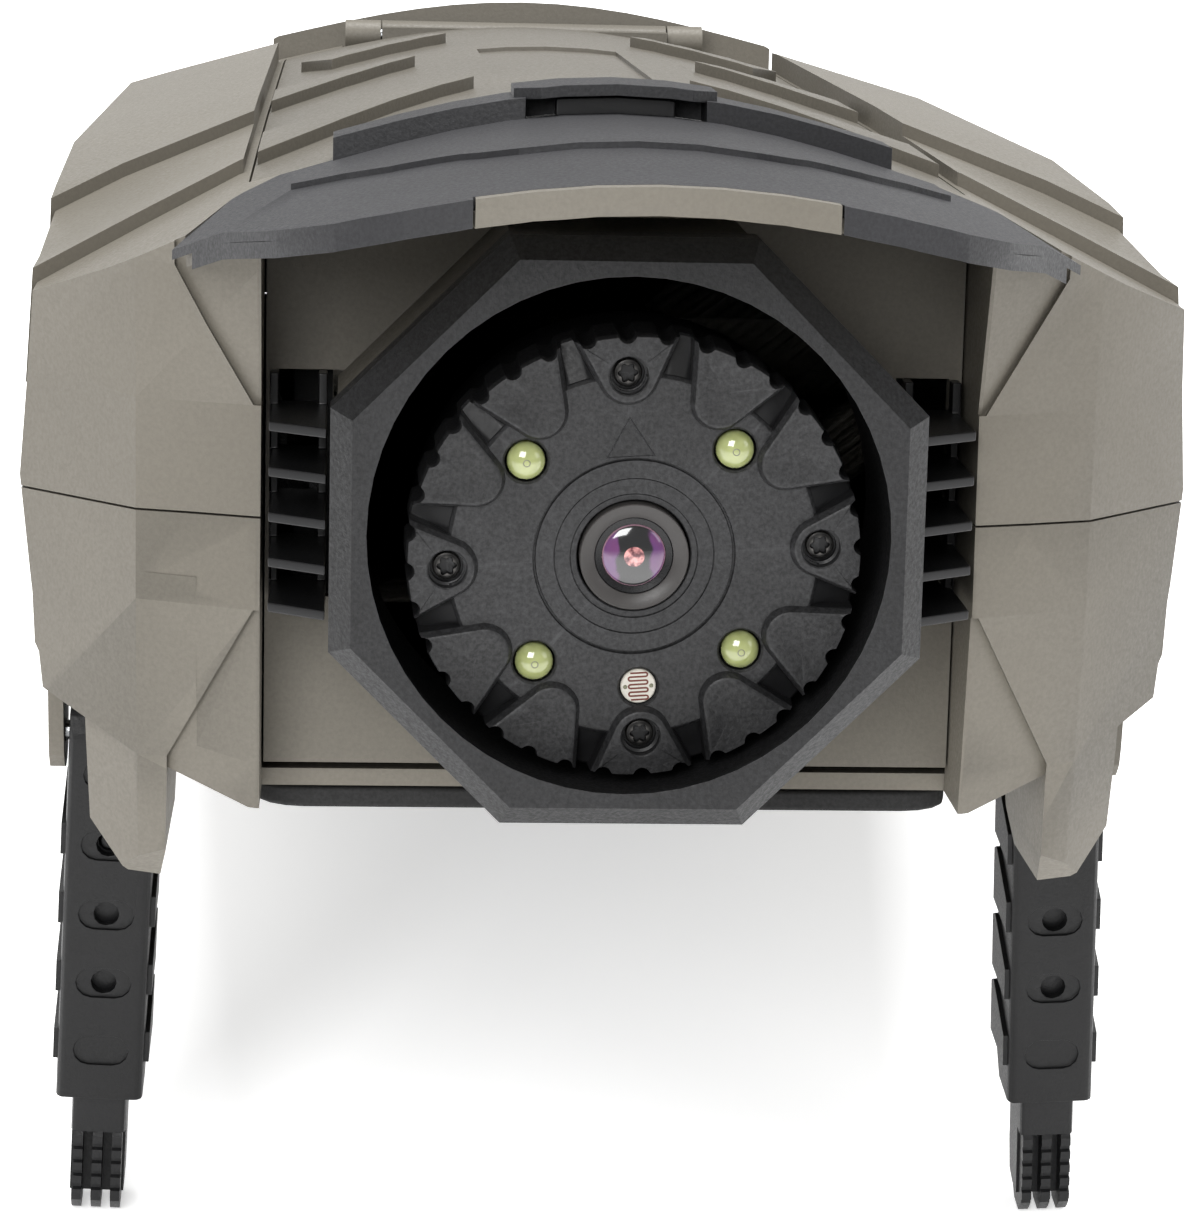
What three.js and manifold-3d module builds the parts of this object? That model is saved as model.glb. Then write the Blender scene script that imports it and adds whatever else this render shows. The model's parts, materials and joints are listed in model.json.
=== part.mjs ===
// A long clamshell field camera: a case with a hinged lid, a hooded camera head on a gimbal at its
// front, two folding telescopic front legs and two fixed rear feet.
// Millimetres. Body frame: the origin is the centre of the bezel's front face, +X right, +Y to the
// rear, +Z up. At the end the whole body is pitched nose-up, so that it stands on its feet.
import * as THREE from 'three';
import { mergeVertices } from 'three/addons/utils/BufferGeometryUtils.js';
import Module from 'manifold-3d';

const wasm = await Module();
wasm.setup();

// ---------------------------------------------------------------- driving dimensions
const GAP = 0.3;                 // clearance between pieces that touch
const WALL = 2.4;                // wall of the two case shells
const SEAM_Z = -0.6;             // height of the shell seam at the front
const SEAM_FALL = 0.036;         // how much the seam drops for each mm towards the rear
const BODY_FRONT = 8;            // first section of the case
const BODY_REAR = 372;           // last section of the case
const BELLY_Z = -42;             // flat underside
const SEAM_HALF = 81.3;          // half width at the seam
const BELLY_HALF = 49;           // half width of the flat underside
const RECESS_HALF = 47.5;        // half width of the recess round the camera
const RECESS_BACK = 34.5;        // rear wall of that recess
const OCT_FLATS = 76.7;          // bezel across its flats
const OCT_FACE_FLATS = 71;       // flat front face of the bezel across its flats
const OCT_BEVEL = 3.2;           // depth of the bezel's front chamfer
const OCT_DEPTH = 9;             // depth of the bezel's flange
const BORE_R = 34.5;             // tunnel behind the bezel
const LIP_R = 33.6;              // round opening in the bezel's face
const HOOD_TIP_Y = 13.4;         // where the hood's front edge meets the cheeks
const HOOD_NOSE_Y = -37;         // front of the hood on the centre line
const LID_HALF = 50;
const LID_FRONT = 58;
const LID_REAR = 346;
const LID_THICK = 2.6;
const HINGE_Y = 351;
const HINGE_Z = 43.5;
const HINGE_R = 1.5;             // hinge pin
const KNUCKLE_R = 3.2;
const PIVOT_Y = 45;              // centre of the camera head's gimbal
const HEAD_R = 29;
const HEAD_FACE = -40;           // front of the head's pads, from the gimbal centre
const HEAD_PAN = 1.6;            // the head's turn to its left at rest, degrees
const HEAD_TILT = 5.2;           // nose-down at rest, degrees
const HEAD_ROLL = 3.7;           // degrees
const LED_CIRCLE_R = 19.1;
const SCREW_CIRCLE_R = 24.3;
const LEG_X = 69.9;              // leg pivot
const LEG_Y = 78.4;
const LEG_Z = -44;
const LEG_BACK = 8.9;            // degrees that an open leg leans to the rear
const LEG_OUT = 2.7;             // degrees that it leans outwards
const SLEEVE_W = 13;
const SLEEVE_D = 15;
const SLEEVE_LEN = 57.2;         // pivot to the sleeve's lower end
const SLIDE_W = 8.2;
const SLIDE_D = 10.4;
const FOOT_REACH = 78.4;         // pivot to the underside of the foot
const HOLE_PITCH = 11.2;
const REAR_FOOT_Y = 337;
const REAR_FOOT_Z = -55.5;
const GROUND_PITCH = 14.7;       // degrees nose-up when the case stands

const deg = THREE.MathUtils.degToRad;

// ---------------------------------------------------------------- solids
function toSolid(geometry) {
  const bare = geometry.clone();
  bare.deleteAttribute('normal');
  bare.deleteAttribute('uv');
  const merged = mergeVertices(bare, 1e-4);
  const all = Array.from(merged.index.array);
  const triangles = [];
  for (let i = 0; i < all.length; i += 3) {
    const [a, b, c] = all.slice(i, i + 3);
    if (a !== b && b !== c && c !== a) triangles.push(a, b, c);
  }
  return new wasm.Manifold(new wasm.Mesh({
    numProp: 3,
    vertProperties: new Float32Array(merged.attributes.position.array),
    triVerts: new Uint32Array(triangles),
  }));
}

function toGeometry(solid) {
  const mesh = solid.getMesh();
  const geometry = new THREE.BufferGeometry();
  geometry.setAttribute('position', new THREE.BufferAttribute(new Float32Array(mesh.vertProperties), 3));
  geometry.setIndex(new THREE.BufferAttribute(new Uint32Array(mesh.triVerts), 1));
  return geometry;
}

const joinAll = (solids) => solids.reduce((a, b) => a.add(b));

function shapeOf(points, holes = []) {
  const shape = new THREE.Shape(points.map(([x, y]) => new THREE.Vector2(x, y)));
  shape.holes = holes.map((hole) => new THREE.Path(hole.map(([x, y]) => new THREE.Vector2(x, y))));
  return shape;
}

const PLANE_BASES = {
  Z: new THREE.Matrix4(),
  X: new THREE.Matrix4().set(0, 0, 1, 0, 1, 0, 0, 0, 0, 1, 0, 0, 0, 0, 0, 1),
  Y: new THREE.Matrix4().set(1, 0, 0, 0, 0, 0, -1, 0, 0, 1, 0, 0, 0, 0, 0, 1),
};

// A prism along one axis. The outline is (x, y) for Z, (y, z) for X and (x, z) for Y.
function prism(axis, points, from, to, holes = []) {
  const settings = { depth: to - from, bevelEnabled: false };
  const geometry = new THREE.ExtrudeGeometry(shapeOf(points, holes), settings);
  geometry.applyMatrix4(PLANE_BASES[axis]);
  if (axis === 'Z') geometry.translate(0, 0, from);
  if (axis === 'X') geometry.translate(from, 0, 0);
  if (axis === 'Y') geometry.translate(0, to, 0);
  return toSolid(geometry);
}

const box = (x0, x1, y0, y1, z0, z1) => prism('Z', [[x0, y0], [x1, y0], [x1, y1], [x0, y1]], z0, z1);

function circle(radius, count, cx = 0, cy = 0) {
  return Array.from({ length: count }, (_, i) => {
    const turn = (i / count) * 2 * Math.PI;
    return [cx + radius * Math.cos(turn), cy + radius * Math.sin(turn)];
  });
}

// A turned piece along Y. Profile points are (radius, y), starting and ending on the axis, or closed.
function turned(profile, count, cx = 0, cz = 0) {
  const lathe = new THREE.LatheGeometry(profile.map(([r, y]) => new THREE.Vector2(r, y)), count);
  const area = profile.reduce((sum, [r, y], i) => {
    const [r2, y2] = profile[(i + 1) % profile.length];
    return sum + r * y2 - r2 * y;
  }, 0);
  if (area < 0) lathe.setIndex(Array.from(lathe.index.array).reverse());
  lathe.translate(cx, 0, cz);
  return toSolid(lathe);
}

// Joins outlines of equal length, each with its own y, into one closed solid. Outlines run
// counterclockwise as seen from the front.
function loft(sections) {
  const count = sections[0].points.length;
  const index = [];
  for (let s = 0; s + 1 < sections.length; s += 1) {
    for (let i = 0; i < count; i += 1) {
      const a = s * count + i;
      const b = s * count + ((i + 1) % count);
      // The diagonals of the second half mirror the first half's, so a symmetric outline stays symmetric.
      if (i < count / 2) index.push(a, b + count, b, a, a + count, b + count);
      else index.push(a, a + count, b, b, a + count, b + count);
    }
  }
  const flat = ({ points }) => points.map(([x, z]) => new THREE.Vector2(x, z));
  const capOf = (section) => THREE.ShapeUtils.triangulateShape(flat(section), []);
  const rear = (sections.length - 1) * count;
  for (const [i, j, k] of capOf(sections[0])) index.push(i, j, k);
  for (const [i, j, k] of capOf(sections.at(-1))) index.push(rear + i, rear + k, rear + j);
  const geometry = new THREE.BufferGeometry();
  const positions = sections.flatMap(({ y, points }) => points.flatMap(([x, z]) => [x, y, z]));
  geometry.setAttribute('position', new THREE.Float32BufferAttribute(positions, 3));
  geometry.setIndex(index);
  return toSolid(geometry);
}

// Half an outline from the top centre down the +X side, closed by its mirror image.
function symmetric(half) {
  const mirrored = half.filter(([x]) => x > 0).map(([x, z]) => [-x, z]);
  return [...half.toReversed(), ...mirrored];
}

// The left-hand copy of a right-hand solid.
function mirrorX(solid) {
  const geometry = toGeometry(solid);
  geometry.scale(-1, 1, 1);
  geometry.setIndex(Array.from(geometry.index.array).reverse());
  return toSolid(geometry);
}

const onBothSides = (solid) => solid.add(mirrorX(solid));

// ---------------------------------------------------------------- assembly
const body = new THREE.Group();

const SLIVER = 0.05;             // mm3, the most that a stray splinter of a cut may hold

// Drops the splinters that a cut along nearly equal surfaces leaves.
function withoutSlivers(solid) {
  const parts = solid.decompose();
  return parts.length > 1 ? joinAll(parts.filter((part) => Math.abs(part.volume()) > SLIVER)) : solid;
}

function place(parent, name, solid, color, roughness = 0.6, metalness = 0) {
  const material = new THREE.MeshStandardMaterial({ color, roughness, metalness });
  const mesh = new THREE.Mesh(toGeometry(withoutSlivers(solid)), material);
  mesh.name = name;
  parent.add(mesh);
  return mesh;
}

const TAUPE = 0x8f8b81;
const CHARCOAL = 0x47474a;
const BLACK = 0x2c2c2e;
const STEEL = 0x9a9a98;

// ---------------------------------------------------------------- case
// Heights of the case along its length: y, centre of the roof, roof at x 37 and 52, shoulder x and z,
// seam x, lower side x.
const CASE_STATIONS = [
  {
    y: BODY_FRONT, crown: 49.8, haunch: 43.0, edge: 38.4, shoulderX: 79, shoulderZ: 24.5,
    seamX: 81.3, lowX: 78,
  },
  { y: 62, crown: 49.8, haunch: 43.2, edge: 38.8, shoulderX: 79, shoulderZ: 26, seamX: 81.3, lowX: 78 },
  { y: 110, crown: 49.4, haunch: 43.4, edge: 39.2, shoulderX: 79.6, shoulderZ: 29.5, seamX: 81.8, lowX: 78 },
  { y: 170, crown: 48.8, haunch: 43.4, edge: 39.4, shoulderX: 81, shoulderZ: 31, seamX: 82.4, lowX: 78 },
  { y: 330, crown: 46.6, haunch: 42.0, edge: 38.4, shoulderX: 80.4, shoulderZ: 30, seamX: 81.6, lowX: 77.4 },
  { y: 360, crown: 45.6, haunch: 41.0, edge: 37.4, shoulderX: 78, shoulderZ: 28, seamX: 79.6, lowX: 75.4 },
  { y: BODY_REAR, crown: 41, haunch: 36.5, edge: 33, shoulderX: 72, shoulderZ: 23, seamX: 74, lowX: 70 },
];

// Roof points of one station, raised by rise: a smooth arch from the crown to the roof's edge.
const HAUNCH_X = 37;
const EDGE_X = 52;
const ROOF_STEPS = 7;
function roofPoints(station, rise) {
  const haunchDrop = (station.crown - station.haunch) / HAUNCH_X ** 2;
  const edgeDrop = (station.crown - station.edge) / EDGE_X ** 2;
  const quartic = (edgeDrop - haunchDrop) / (EDGE_X ** 2 - HAUNCH_X ** 2);
  const square = haunchDrop - quartic * HAUNCH_X ** 2;
  return Array.from({ length: ROOF_STEPS + 1 }, (_, i) => {
    const x = (i / ROOF_STEPS) * EDGE_X;
    return [x, station.crown + rise - square * x ** 2 - quartic * x ** 4];
  });
}

// The case's outside, grown outwards by grow, with its upper side panels raised by rise.
function caseOutside(grow, rise = 0) {
  const sections = CASE_STATIONS.map((station) => {
    const { y, shoulderX, shoulderZ, seamX, lowX } = station;
    const half = [
      ...roofPoints(station, grow + rise),
      [shoulderX + grow + rise * 0.3, shoulderZ + grow * 0.4 + rise],
      [seamX + grow, SEAM_Z],
      [lowX + grow, -30 - grow * 0.5],
      [64 + grow * 0.3, -36 - grow],
      [BELLY_HALF, BELLY_Z - grow],
      [0, BELLY_Z - grow],
    ];
    return { y, points: symmetric(half) };
  });
  sections[0].y -= grow;
  sections.at(-1).y += grow;
  return loft(sections);
}

// Everything in front of the cheeks' faceted front surface, moved back by recess.
function frontCutter(recess = 0) {
  const columns = [0, 48, 64.2, 81.5, 95];
  const rows = [
    { z: 70, ys: [4, 4, 15, 38, 55] },
    { z: 31.8, ys: [13.4, 13.4, 24.4, 44, 60] },
    { z: 13.5, ys: [20, 20, 26.2, 47.7, 64] },
    { z: -13.7, ys: [18.8, 18.8, 26.2, 48, 64] },
    { z: -35.7, ys: [22, 22, 29.6, 49, 65] },
    { z: -70, ys: [28, 28, 36, 56, 70] },
  ];
  const front = -60;
  const xs = [...columns.slice(1).toReversed().map((x) => -x), ...columns];
  const vertices = [];
  for (const { z, ys } of rows) {
    const both = [...ys.slice(1).toReversed(), ...ys];
    xs.forEach((x, i) => vertices.push([x, both[i] + recess, z]));
  }
  const wide = xs.length;
  const faces = [];
  for (let r = 0; r + 1 < rows.length; r += 1) {
    for (let c = 0; c + 1 < wide; c += 1) {
      const a = r * wide + c;
      faces.push(a, a + 1, a + wide, a + 1, a + wide + 1, a + wide);
    }
  }
  // Close the surface into a block with a flat front.
  const offset = vertices.length;
  for (const { z } of rows) xs.forEach((x) => vertices.push([x, front, z]));
  const block = [...faces];
  for (let i = 0; i < faces.length; i += 3) {
    block.push(offset + faces[i], offset + faces[i + 2], offset + faces[i + 1]);
  }
  const rim = [];
  for (let c = 0; c < wide; c += 1) rim.push(c);
  for (let r = 1; r < rows.length; r += 1) rim.push(r * wide + wide - 1);
  for (let c = wide - 2; c >= 0; c -= 1) rim.push((rows.length - 1) * wide + c);
  for (let r = rows.length - 2; r > 0; r -= 1) rim.push(r * wide);
  rim.forEach((a, i) => {
    const b = rim[(i + 1) % rim.length];
    block.push(a, offset + b, b, a, offset + a, offset + b);
  });
  const geometry = new THREE.BufferGeometry();
  geometry.setAttribute('position', new THREE.Float32BufferAttribute(vertices.flat(), 3));
  geometry.setIndex(block);
  return toSolid(geometry);
}

// A layer of the roof between two depths, inside a plan outline.
function roofLayer(low, high, plan) {
  const nose = { ...CASE_STATIONS[0], y: -42, crown: 48.2, haunch: 42.4, edge: 37.6 };
  const sections = [nose, ...CASE_STATIONS].map((station) => {
    const upper = [...roofPoints(station, high), [66, station.edge - 8 + high]];
    const lower = [...roofPoints(station, low), [66, station.edge - 8 + low]];
    const right = [...lower, ...upper.toReversed()];
    const left = [...upper.slice(1), ...lower.slice(1).toReversed()].map(([x, z]) => [-x, z]);
    return { y: station.y, points: [...right, ...left] };
  });
  return loft(sections).intersect(prism('Z', plan, -60, 80));
}

const rectangle = (half, y0, y1) => [[-half, y0], [half, y0], [half, y1], [-half, y1]];

// Front edge of the hood in plan, from the centre line to its tip.
const HOOD_EDGE = [[0, HOOD_NOSE_Y], [12, -36.4], [21.5, -34.6], [30, -31.6], [38, -26], [45, -15], [52, 0],
  [58.9, HOOD_TIP_Y]];
function mirroredPlan(half) {
  const left = half.filter(([x]) => x > 0).map(([x, y]) => [-x, y]);
  return [...left.toReversed(), ...half];
}
const hoodPlan = mirroredPlan([...HOOD_EDGE, [57.5, 20], [50.6, 45], [46, 56.5]]);

const SKIN = 1.3;                // overmoulded layer on the hood
const HOOD_THICK = 3.4;
const CORE_SHOW_HALF = 21.5;     // the hood's bare core shows between these
const CORE_INSET = 1.8;
const NOSE_STRIP = 2.2;          // how far the core's front edge reaches back on the hood's top

function hoodCorePlan() {
  const covered = (x) => x > CORE_SHOW_HALF + 0.1;
  const inset = HOOD_EDGE.map(([x, y]) => (covered(x) ? [x - CORE_INSET, y + CORE_INSET] : [x, y]));
  const cut = inset.findIndex(([x]) => x === CORE_SHOW_HALF);
  inset.splice(cut + 1, 0, [CORE_SHOW_HALF + 0.2, -34.6 + CORE_INSET]);
  return mirroredPlan([...inset, [56, 20]]);
}

// The bare core's front edge, which reaches the hood's top between the overmould's two sides.
function hoodNoseStrip(grow) {
  const back = hoodPlan.map(([x, y]) => [x, y + NOSE_STRIP + grow]);
  return roofLayer(-HOOD_THICK - grow, grow, hoodPlan).subtract(prism('Z', back, -60, 80))
    .intersect(box(-CORE_SHOW_HALF - grow, CORE_SHOW_HALF + grow, -60, 0, 0, 80));
}

// Front edge of the step on the hood's top, from the centre line outwards, and its rear corners.
const HOOD_STEP = 0.8;
const HOOD_STEP_LINE = [[0, 2.4], [15, 3], [20, 6], [25, 11], [31, 15], [37, 23], [44, 30], [44, 45.8],
  [0, 45.8]];

const STEP_RISE = 2;             // height of each shingled step in the case's skin

// Plates standing proud of the shoulders, each ending at the front in a slanted step.
function shoulderPlates() {
  const solids = [];
  const steps = [
    { inner: [51.5, 74], outer: [90, 41], rise: STEP_RISE },
    { inner: [51.5, 134], outer: [90, 86], rise: 2 * STEP_RISE },
  ];
  for (const { inner, outer, rise } of steps) {
    const plan = [inner, outer, [90, 338], [51.5, 338]];
    solids.push(caseOutside(0, rise).intersect(prism('Z', plan, 12, 80)));
  }
  return onBothSides(joinAll(solids));
}

const cavity = caseOutside(-WALL).subtract(frontCutter(WALL))
  .subtract(box(RECESS_HALF, RECESS_HALF + WALL, 0, 37, -60, 60))
  .subtract(box(-RECESS_HALF - WALL, -RECESS_HALF, 0, 37, -60, 60));
const recess = caseOutside(-HOOD_THICK).intersect(box(-RECESS_HALF, RECESS_HALF, -60, 37.5, -20, 60))
  .add(box(-RECESS_HALF, RECESS_HALF, -60, 37.5, -60, 0));

// Triangles of the cheeks that lie a step below the raised bumper panel.
const cheekTriangles = onBothSides(joinAll([
  prism('Y', [[47, 13.5], [48.5, 13.5], [58.9, 31.8], [58.9, 60], [47, 60]], 0, 60),
  prism('Y', [[47, -13.7], [47, -60], [60.1, -60], [60.1, -35.7], [48.4, -13.7]], 0, 60),
])).intersect(frontCutter(1.1));

const caseSkin = caseOutside(0).add(shoulderPlates()).subtract(frontCutter()).subtract(cheekTriangles)
  .subtract(cavity).subtract(recess);

// The half of a solid above or below the seam.
function sideOfSeam(solid, above) {
  const far = above ? 90 : -90;
  const shift = above ? GAP / 2 : -GAP / 2;
  const line = (y) => SEAM_Z - SEAM_FALL * y + shift;
  const outline = [[-80, line(-80)], [400, line(400)], [400, far], [-80, far]];
  return solid.intersect(prism('X', above ? outline : outline.toReversed(), -100, 100));
}

const lidPlan = (grow) => rectangle(LID_HALF + grow, LID_FRONT - grow, LID_REAR + grow);
const bayPlan = rectangle(45.5, 63, 338);

function rearKnuckle(x0, x1) {
  const knuckle = prism('X', circle(KNUCKLE_R, 14, HINGE_Y, HINGE_Z), x0, x1);
  const foot = box(x0, x1, HINGE_Y - 2, HINGE_Y + 4, HINGE_Z - 7, HINGE_Z - 1);
  return knuckle.add(foot);
}

const hingePinHole = (r) => prism('X', circle(r, 14, HINGE_Y, HINGE_Z), -60, 60);
const HINGE_SPLIT = 30;          // the lid's knuckle lies inside this half width
const HINGE_END = 38;

const hingeBay = box(-HINGE_END - GAP, HINGE_END + GAP, LID_REAR - 1, 357, HINGE_Z - 4.5, 60);
const hingeFloor = box(-HINGE_END - 2, HINGE_END + 2, LID_REAR + GAP + 0.1, 359,
  HINGE_Z - 7.5, HINGE_Z - 4.8);
const knuckles = onBothSides(rearKnuckle(HINGE_SPLIT + GAP, HINGE_END - GAP));

// A shelf inside the roof carries the lid's gasket.
const SHELF_BOTTOM = -6.4;
const SHELF_TOP = -4.2;
const shelfPlan = rectangle(54, 55, 350);
const shelfRim = roofLayer(SHELF_BOTTOM, -1.5, shelfPlan).subtract(prism('Z', lidPlan(GAP), 0, 80));
const lidShelf = roofLayer(SHELF_BOTTOM, SHELF_TOP, shelfPlan).add(shelfRim)
  .subtract(prism('Z', bayPlan, 0, 80))
  .intersect(caseOutside(-0.6));

const hoodCore = roofLayer(-HOOD_THICK, -SKIN - GAP, hoodCorePlan())
  .subtract(prism('Y', [[-70, -60], [70, -60], [70, 31], [-70, 31]], -60, 60));
const skinSeat = roofLayer(-SKIN - GAP, 20, hoodPlan);

const BUTTON_R = 5;              // power button in the rear wall
const BUTTON_Z = 16;
const rearArch = roofLayer(-1, 5, rectangle(53, 357.5, 366));
const upperShell = sideOfSeam(caseSkin, true).add(hoodCore.subtract(box(-90, 90, 22, 80, 0, 80)))
  .subtract(skinSeat)
  .add(hoodNoseStrip(0))
  .add(rearArch)
  .subtract(roofLayer(SHELF_TOP, 20, lidPlan(GAP)))
  .add(lidShelf)
  .subtract(hingeBay)
  .add(hingeFloor)
  .add(knuckles)
  .subtract(hingePinHole(HINGE_R + GAP))
  .subtract(prism('Y', circle(BUTTON_R + GAP, 20, 0, BUTTON_Z), BODY_REAR - 8, BODY_REAR + 8));
place(body, 'upper_shell', upperShell, TAUPE, 0.62);

// ---------------------------------------------------------------- lower shell, feet and leg brackets
// A front horn carries the cheek and its flank down to a blunt tip in front of the leg.
const HORN_SET_BACK = 0.05;      // keeps the horn just behind the cheek that it grows from
const HORN_SIDE = [[12, -8], [12, -36], [38, -55], [58, -55], [64, -44], [64, -8]];
const HORN_FRONT = [[56, -10], [79.8, -10], [79.2, -24], [77.6, -27], [71.8, -31], [71.2, -47.4],
  [65.8, -54], [61.4, -55], [60.4, -50], [60, -35.7], [56, -34]];
const hornWidth = prism('Y', HORN_FRONT, 10, 70);
const frontHorn = prism('X', HORN_SIDE, 50, 82).intersect(hornWidth)
  .subtract(frontCutter(HORN_SET_BACK))
  .subtract(cheekTriangles);

// The rear foot's underside lies on the ground that the case stands on.
const groundSlope = Math.tan(deg(GROUND_PITCH));
const groundZ = (y) => REAR_FOOT_Z + (y - REAR_FOOT_Y) * groundSlope;
const rearFoot = prism('X', [[318, -30], [326, groundZ(326)], [346, groundZ(346)], [352, -30]], 58, 71)
  .subtract(caseOutside(GAP));

const EAR_T = 2.2;
const EAR_R = 5.6;
const EAR_ROOT = 7.5;            // half length of an ear where it leaves the case
const EAR_PLAY = 0.5;            // room beside the sleeve for its flank steps
function earAt(x) {
  const lowerHalf = circle(EAR_R, 12, LEG_Y, LEG_Z).slice(6);
  const side = [...lowerHalf, [LEG_Y + EAR_ROOT, -30], [LEG_Y - EAR_ROOT, -30]];
  return prism('X', side, x, x + EAR_T);
}
const innerEar = earAt(LEG_X - SLEEVE_W / 2 - GAP - EAR_T - EAR_PLAY);
const outerEar = earAt(LEG_X + SLEEVE_W / 2 + GAP + EAR_PLAY);
const legEars = innerEar.add(outerEar);
const LEG_PIN_R = 1.5;
const legPinHole = prism('X', circle(LEG_PIN_R + GAP, 12, LEG_Y, LEG_Z), 40, 90);

const standing = onBothSides(frontHorn.add(legEars.subtract(legPinHole))).subtract(cavity);
const PAD_FRONT = 37.5;
const PAD_REAR = 306;
const PAD_HALF = 48.6;
const PAD_BOTTOM = -45.2;
const PAD_CORNER_R = 7;
const lowerShell = sideOfSeam(caseSkin, false).add(sideOfSeam(standing, false));
place(body, 'lower_shell', lowerShell, TAUPE, 0.62);
place(body, 'rear_foot_right', rearFoot, BLACK, 0.8);
place(body, 'rear_foot_left', mirrorX(rearFoot), BLACK, 0.8);

// Rubber pad under the belly, with round corners.
function roundedRectangle(half, y0, y1, radius, steps = 4) {
  const corner = (cx, cy, start) => Array.from({ length: steps + 1 }, (_, i) => {
    const turn = start + (i / steps) * (Math.PI / 2);
    return [cx + radius * Math.cos(turn), cy + radius * Math.sin(turn)];
  });
  return [
    ...corner(half - radius, y1 - radius, 0),
    ...corner(-half + radius, y1 - radius, Math.PI / 2),
    ...corner(-half + radius, y0 + radius, Math.PI),
    ...corner(half - radius, y0 + radius, 1.5 * Math.PI),
  ];
}
const padPlan = roundedRectangle(PAD_HALF, PAD_FRONT, PAD_REAR, PAD_CORNER_R);
place(body, 'base_pad', prism('Z', padPlan, PAD_BOTTOM, BELLY_Z - GAP), BLACK, 0.8);

// ---------------------------------------------------------------- hood skin and lid
const hoodSkin = roofLayer(-SKIN, 0, hoodPlan)
  .add(roofLayer(-HOOD_THICK, -SKIN + 0.01, hoodPlan)
    .subtract(prism('Z', hoodCorePlan().map(([x, y]) => [x * 1.012, y - GAP]), -60, 80))
    .subtract(box(-CORE_SHOW_HALF, CORE_SHOW_HALF, -60, 80, 0, 80))
    .subtract(box(-90, 90, 8, 80, 0, 80)))
  .subtract(roofLayer(-20, 20, lidPlan(GAP)))
  .subtract(hoodNoseStrip(GAP))
  .add(roofLayer(-0.2, HOOD_STEP, mirroredPlan(HOOD_STEP_LINE)));
place(body, 'hood_skin', hoodSkin, CHARCOAL, 0.75);

// Ridges on the lid: slanted plates whose front ends step up, as plan outlines for the +X side.
const LID_RIDGES = [
  [[49.6, 80], [19, 127], [17, 131], [19, 134], [49.6, 112]],
  [[49.6, 176], [27, 212], [25, 216], [27, 219], [49.6, 206]],
  [[40, 262], [20, 281], [18, 285], [21, 289], [46, 276]],
];
const lidRidges = onBothSides(joinAll(LID_RIDGES.map((plan) => roofLayer(-1, STEP_RISE, plan))));
const LOGO_HALF = 13;            // blank sunk panel on the lid
const lidKnuckle = prism('X', circle(KNUCKLE_R, 14, HINGE_Y, HINGE_Z), -HINGE_SPLIT, HINGE_SPLIT)
  .add(roofLayer(-LID_THICK, -0.4, rectangle(HINGE_SPLIT, LID_REAR - 3, HINGE_Y - 1)))
  .add(box(-HINGE_SPLIT, HINGE_SPLIT, HINGE_Y - 6, HINGE_Y, HINGE_Z - 2.4, HINGE_Z + 2));
const lid = roofLayer(-LID_THICK, 0, lidPlan(0))
  .add(lidRidges)
  .subtract(roofLayer(-0.8, 10, rectangle(LOGO_HALF, 150, 250)))
  .add(lidKnuckle)
  .subtract(hingePinHole(HINGE_R + GAP));
place(body, 'lid', lid, TAUPE, 0.6);

place(body, 'hinge_pin', prism('X', circle(HINGE_R, 12, HINGE_Y, HINGE_Z), -HINGE_END + 1, HINGE_END - 1),
  STEEL, 0.35, 1);
place(body, 'lid_gasket', roofLayer(-3.9, -LID_THICK - GAP, rectangle(48.8, 59.4, 341))
  .subtract(prism('Z', rectangle(46.2, 62.2, 338.5), 0, 80)), BLACK, 0.9);

// Charcoal band along the lid's front, with a pocket for the latch button.
const BAND_HALF = 38.6;
const BAND_TOP = 3.6;
const POCKET_HALF = 12.4;
const POCKET_REAR = 55;
const LATCH_HALF = 8.2;
const LATCH_Y = [48.2, 51.4];
const LATCH_TRAVEL = 1.8;
const LATCH_SPRING_R = 0.9;
const LATCH_SPRING_Z = 51.2;
const bandPlan = mirroredPlan([[12.5, 46.4], [BAND_HALF, 50], [BAND_HALF, 60]]);
const band = roofLayer(GAP, BAND_TOP, bandPlan)
  .subtract(roofLayer(GAP - 1, BAND_TOP + 1, rectangle(POCKET_HALF, 40, POCKET_REAR)))
  .add(roofLayer(3.3, 4.9, [[-10.4, 44.8], [10.4, 44.8], [14, 49], [14, 59], [-14, 59], [-14, 49]]));
place(body, 'lid_band', band, CHARCOAL, 0.7);
place(body, 'latch_button', roofLayer(0.5, 2.9, rectangle(LATCH_HALF, ...LATCH_Y)), BLACK, 0.6);
// Springs are drawn at the length that they have when their button is pressed.
place(body, 'latch_spring', prism('Y', circle(LATCH_SPRING_R, 8, 0, LATCH_SPRING_Z),
  LATCH_Y[1] + LATCH_TRAVEL + 0.1, POCKET_REAR - 0.2), STEEL, 0.4, 1);

// ---------------------------------------------------------------- compartment under the lid
const TRAY_FLOOR = -22;
const trayOuter = box(-44, 44, 66, 334, TRAY_FLOOR, 35);
const trayInner = box(-42, 42, 68, 332, TRAY_FLOOR + 2, 60);
const TRAY_DIVIDER_Y = 206;
place(body, 'compartment_tray', trayOuter.subtract(trayInner)
  .add(box(-42, 42, TRAY_DIVIDER_Y, TRAY_DIVIDER_Y + 2, TRAY_FLOOR + 1, 12)), 0x3a3a3c, 0.7);
const batterySection = roundedRectangle(30, TRAY_FLOOR + 2.3, 18, 4);
place(body, 'battery_pack', prism('Y', batterySection, 84, 192), 0x33363a, 0.5);
place(body, 'main_board', box(-40, 40, 72, 200, TRAY_FLOOR - 6, TRAY_FLOOR - 4.4), 0x2f5a3a, 0.5);

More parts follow.
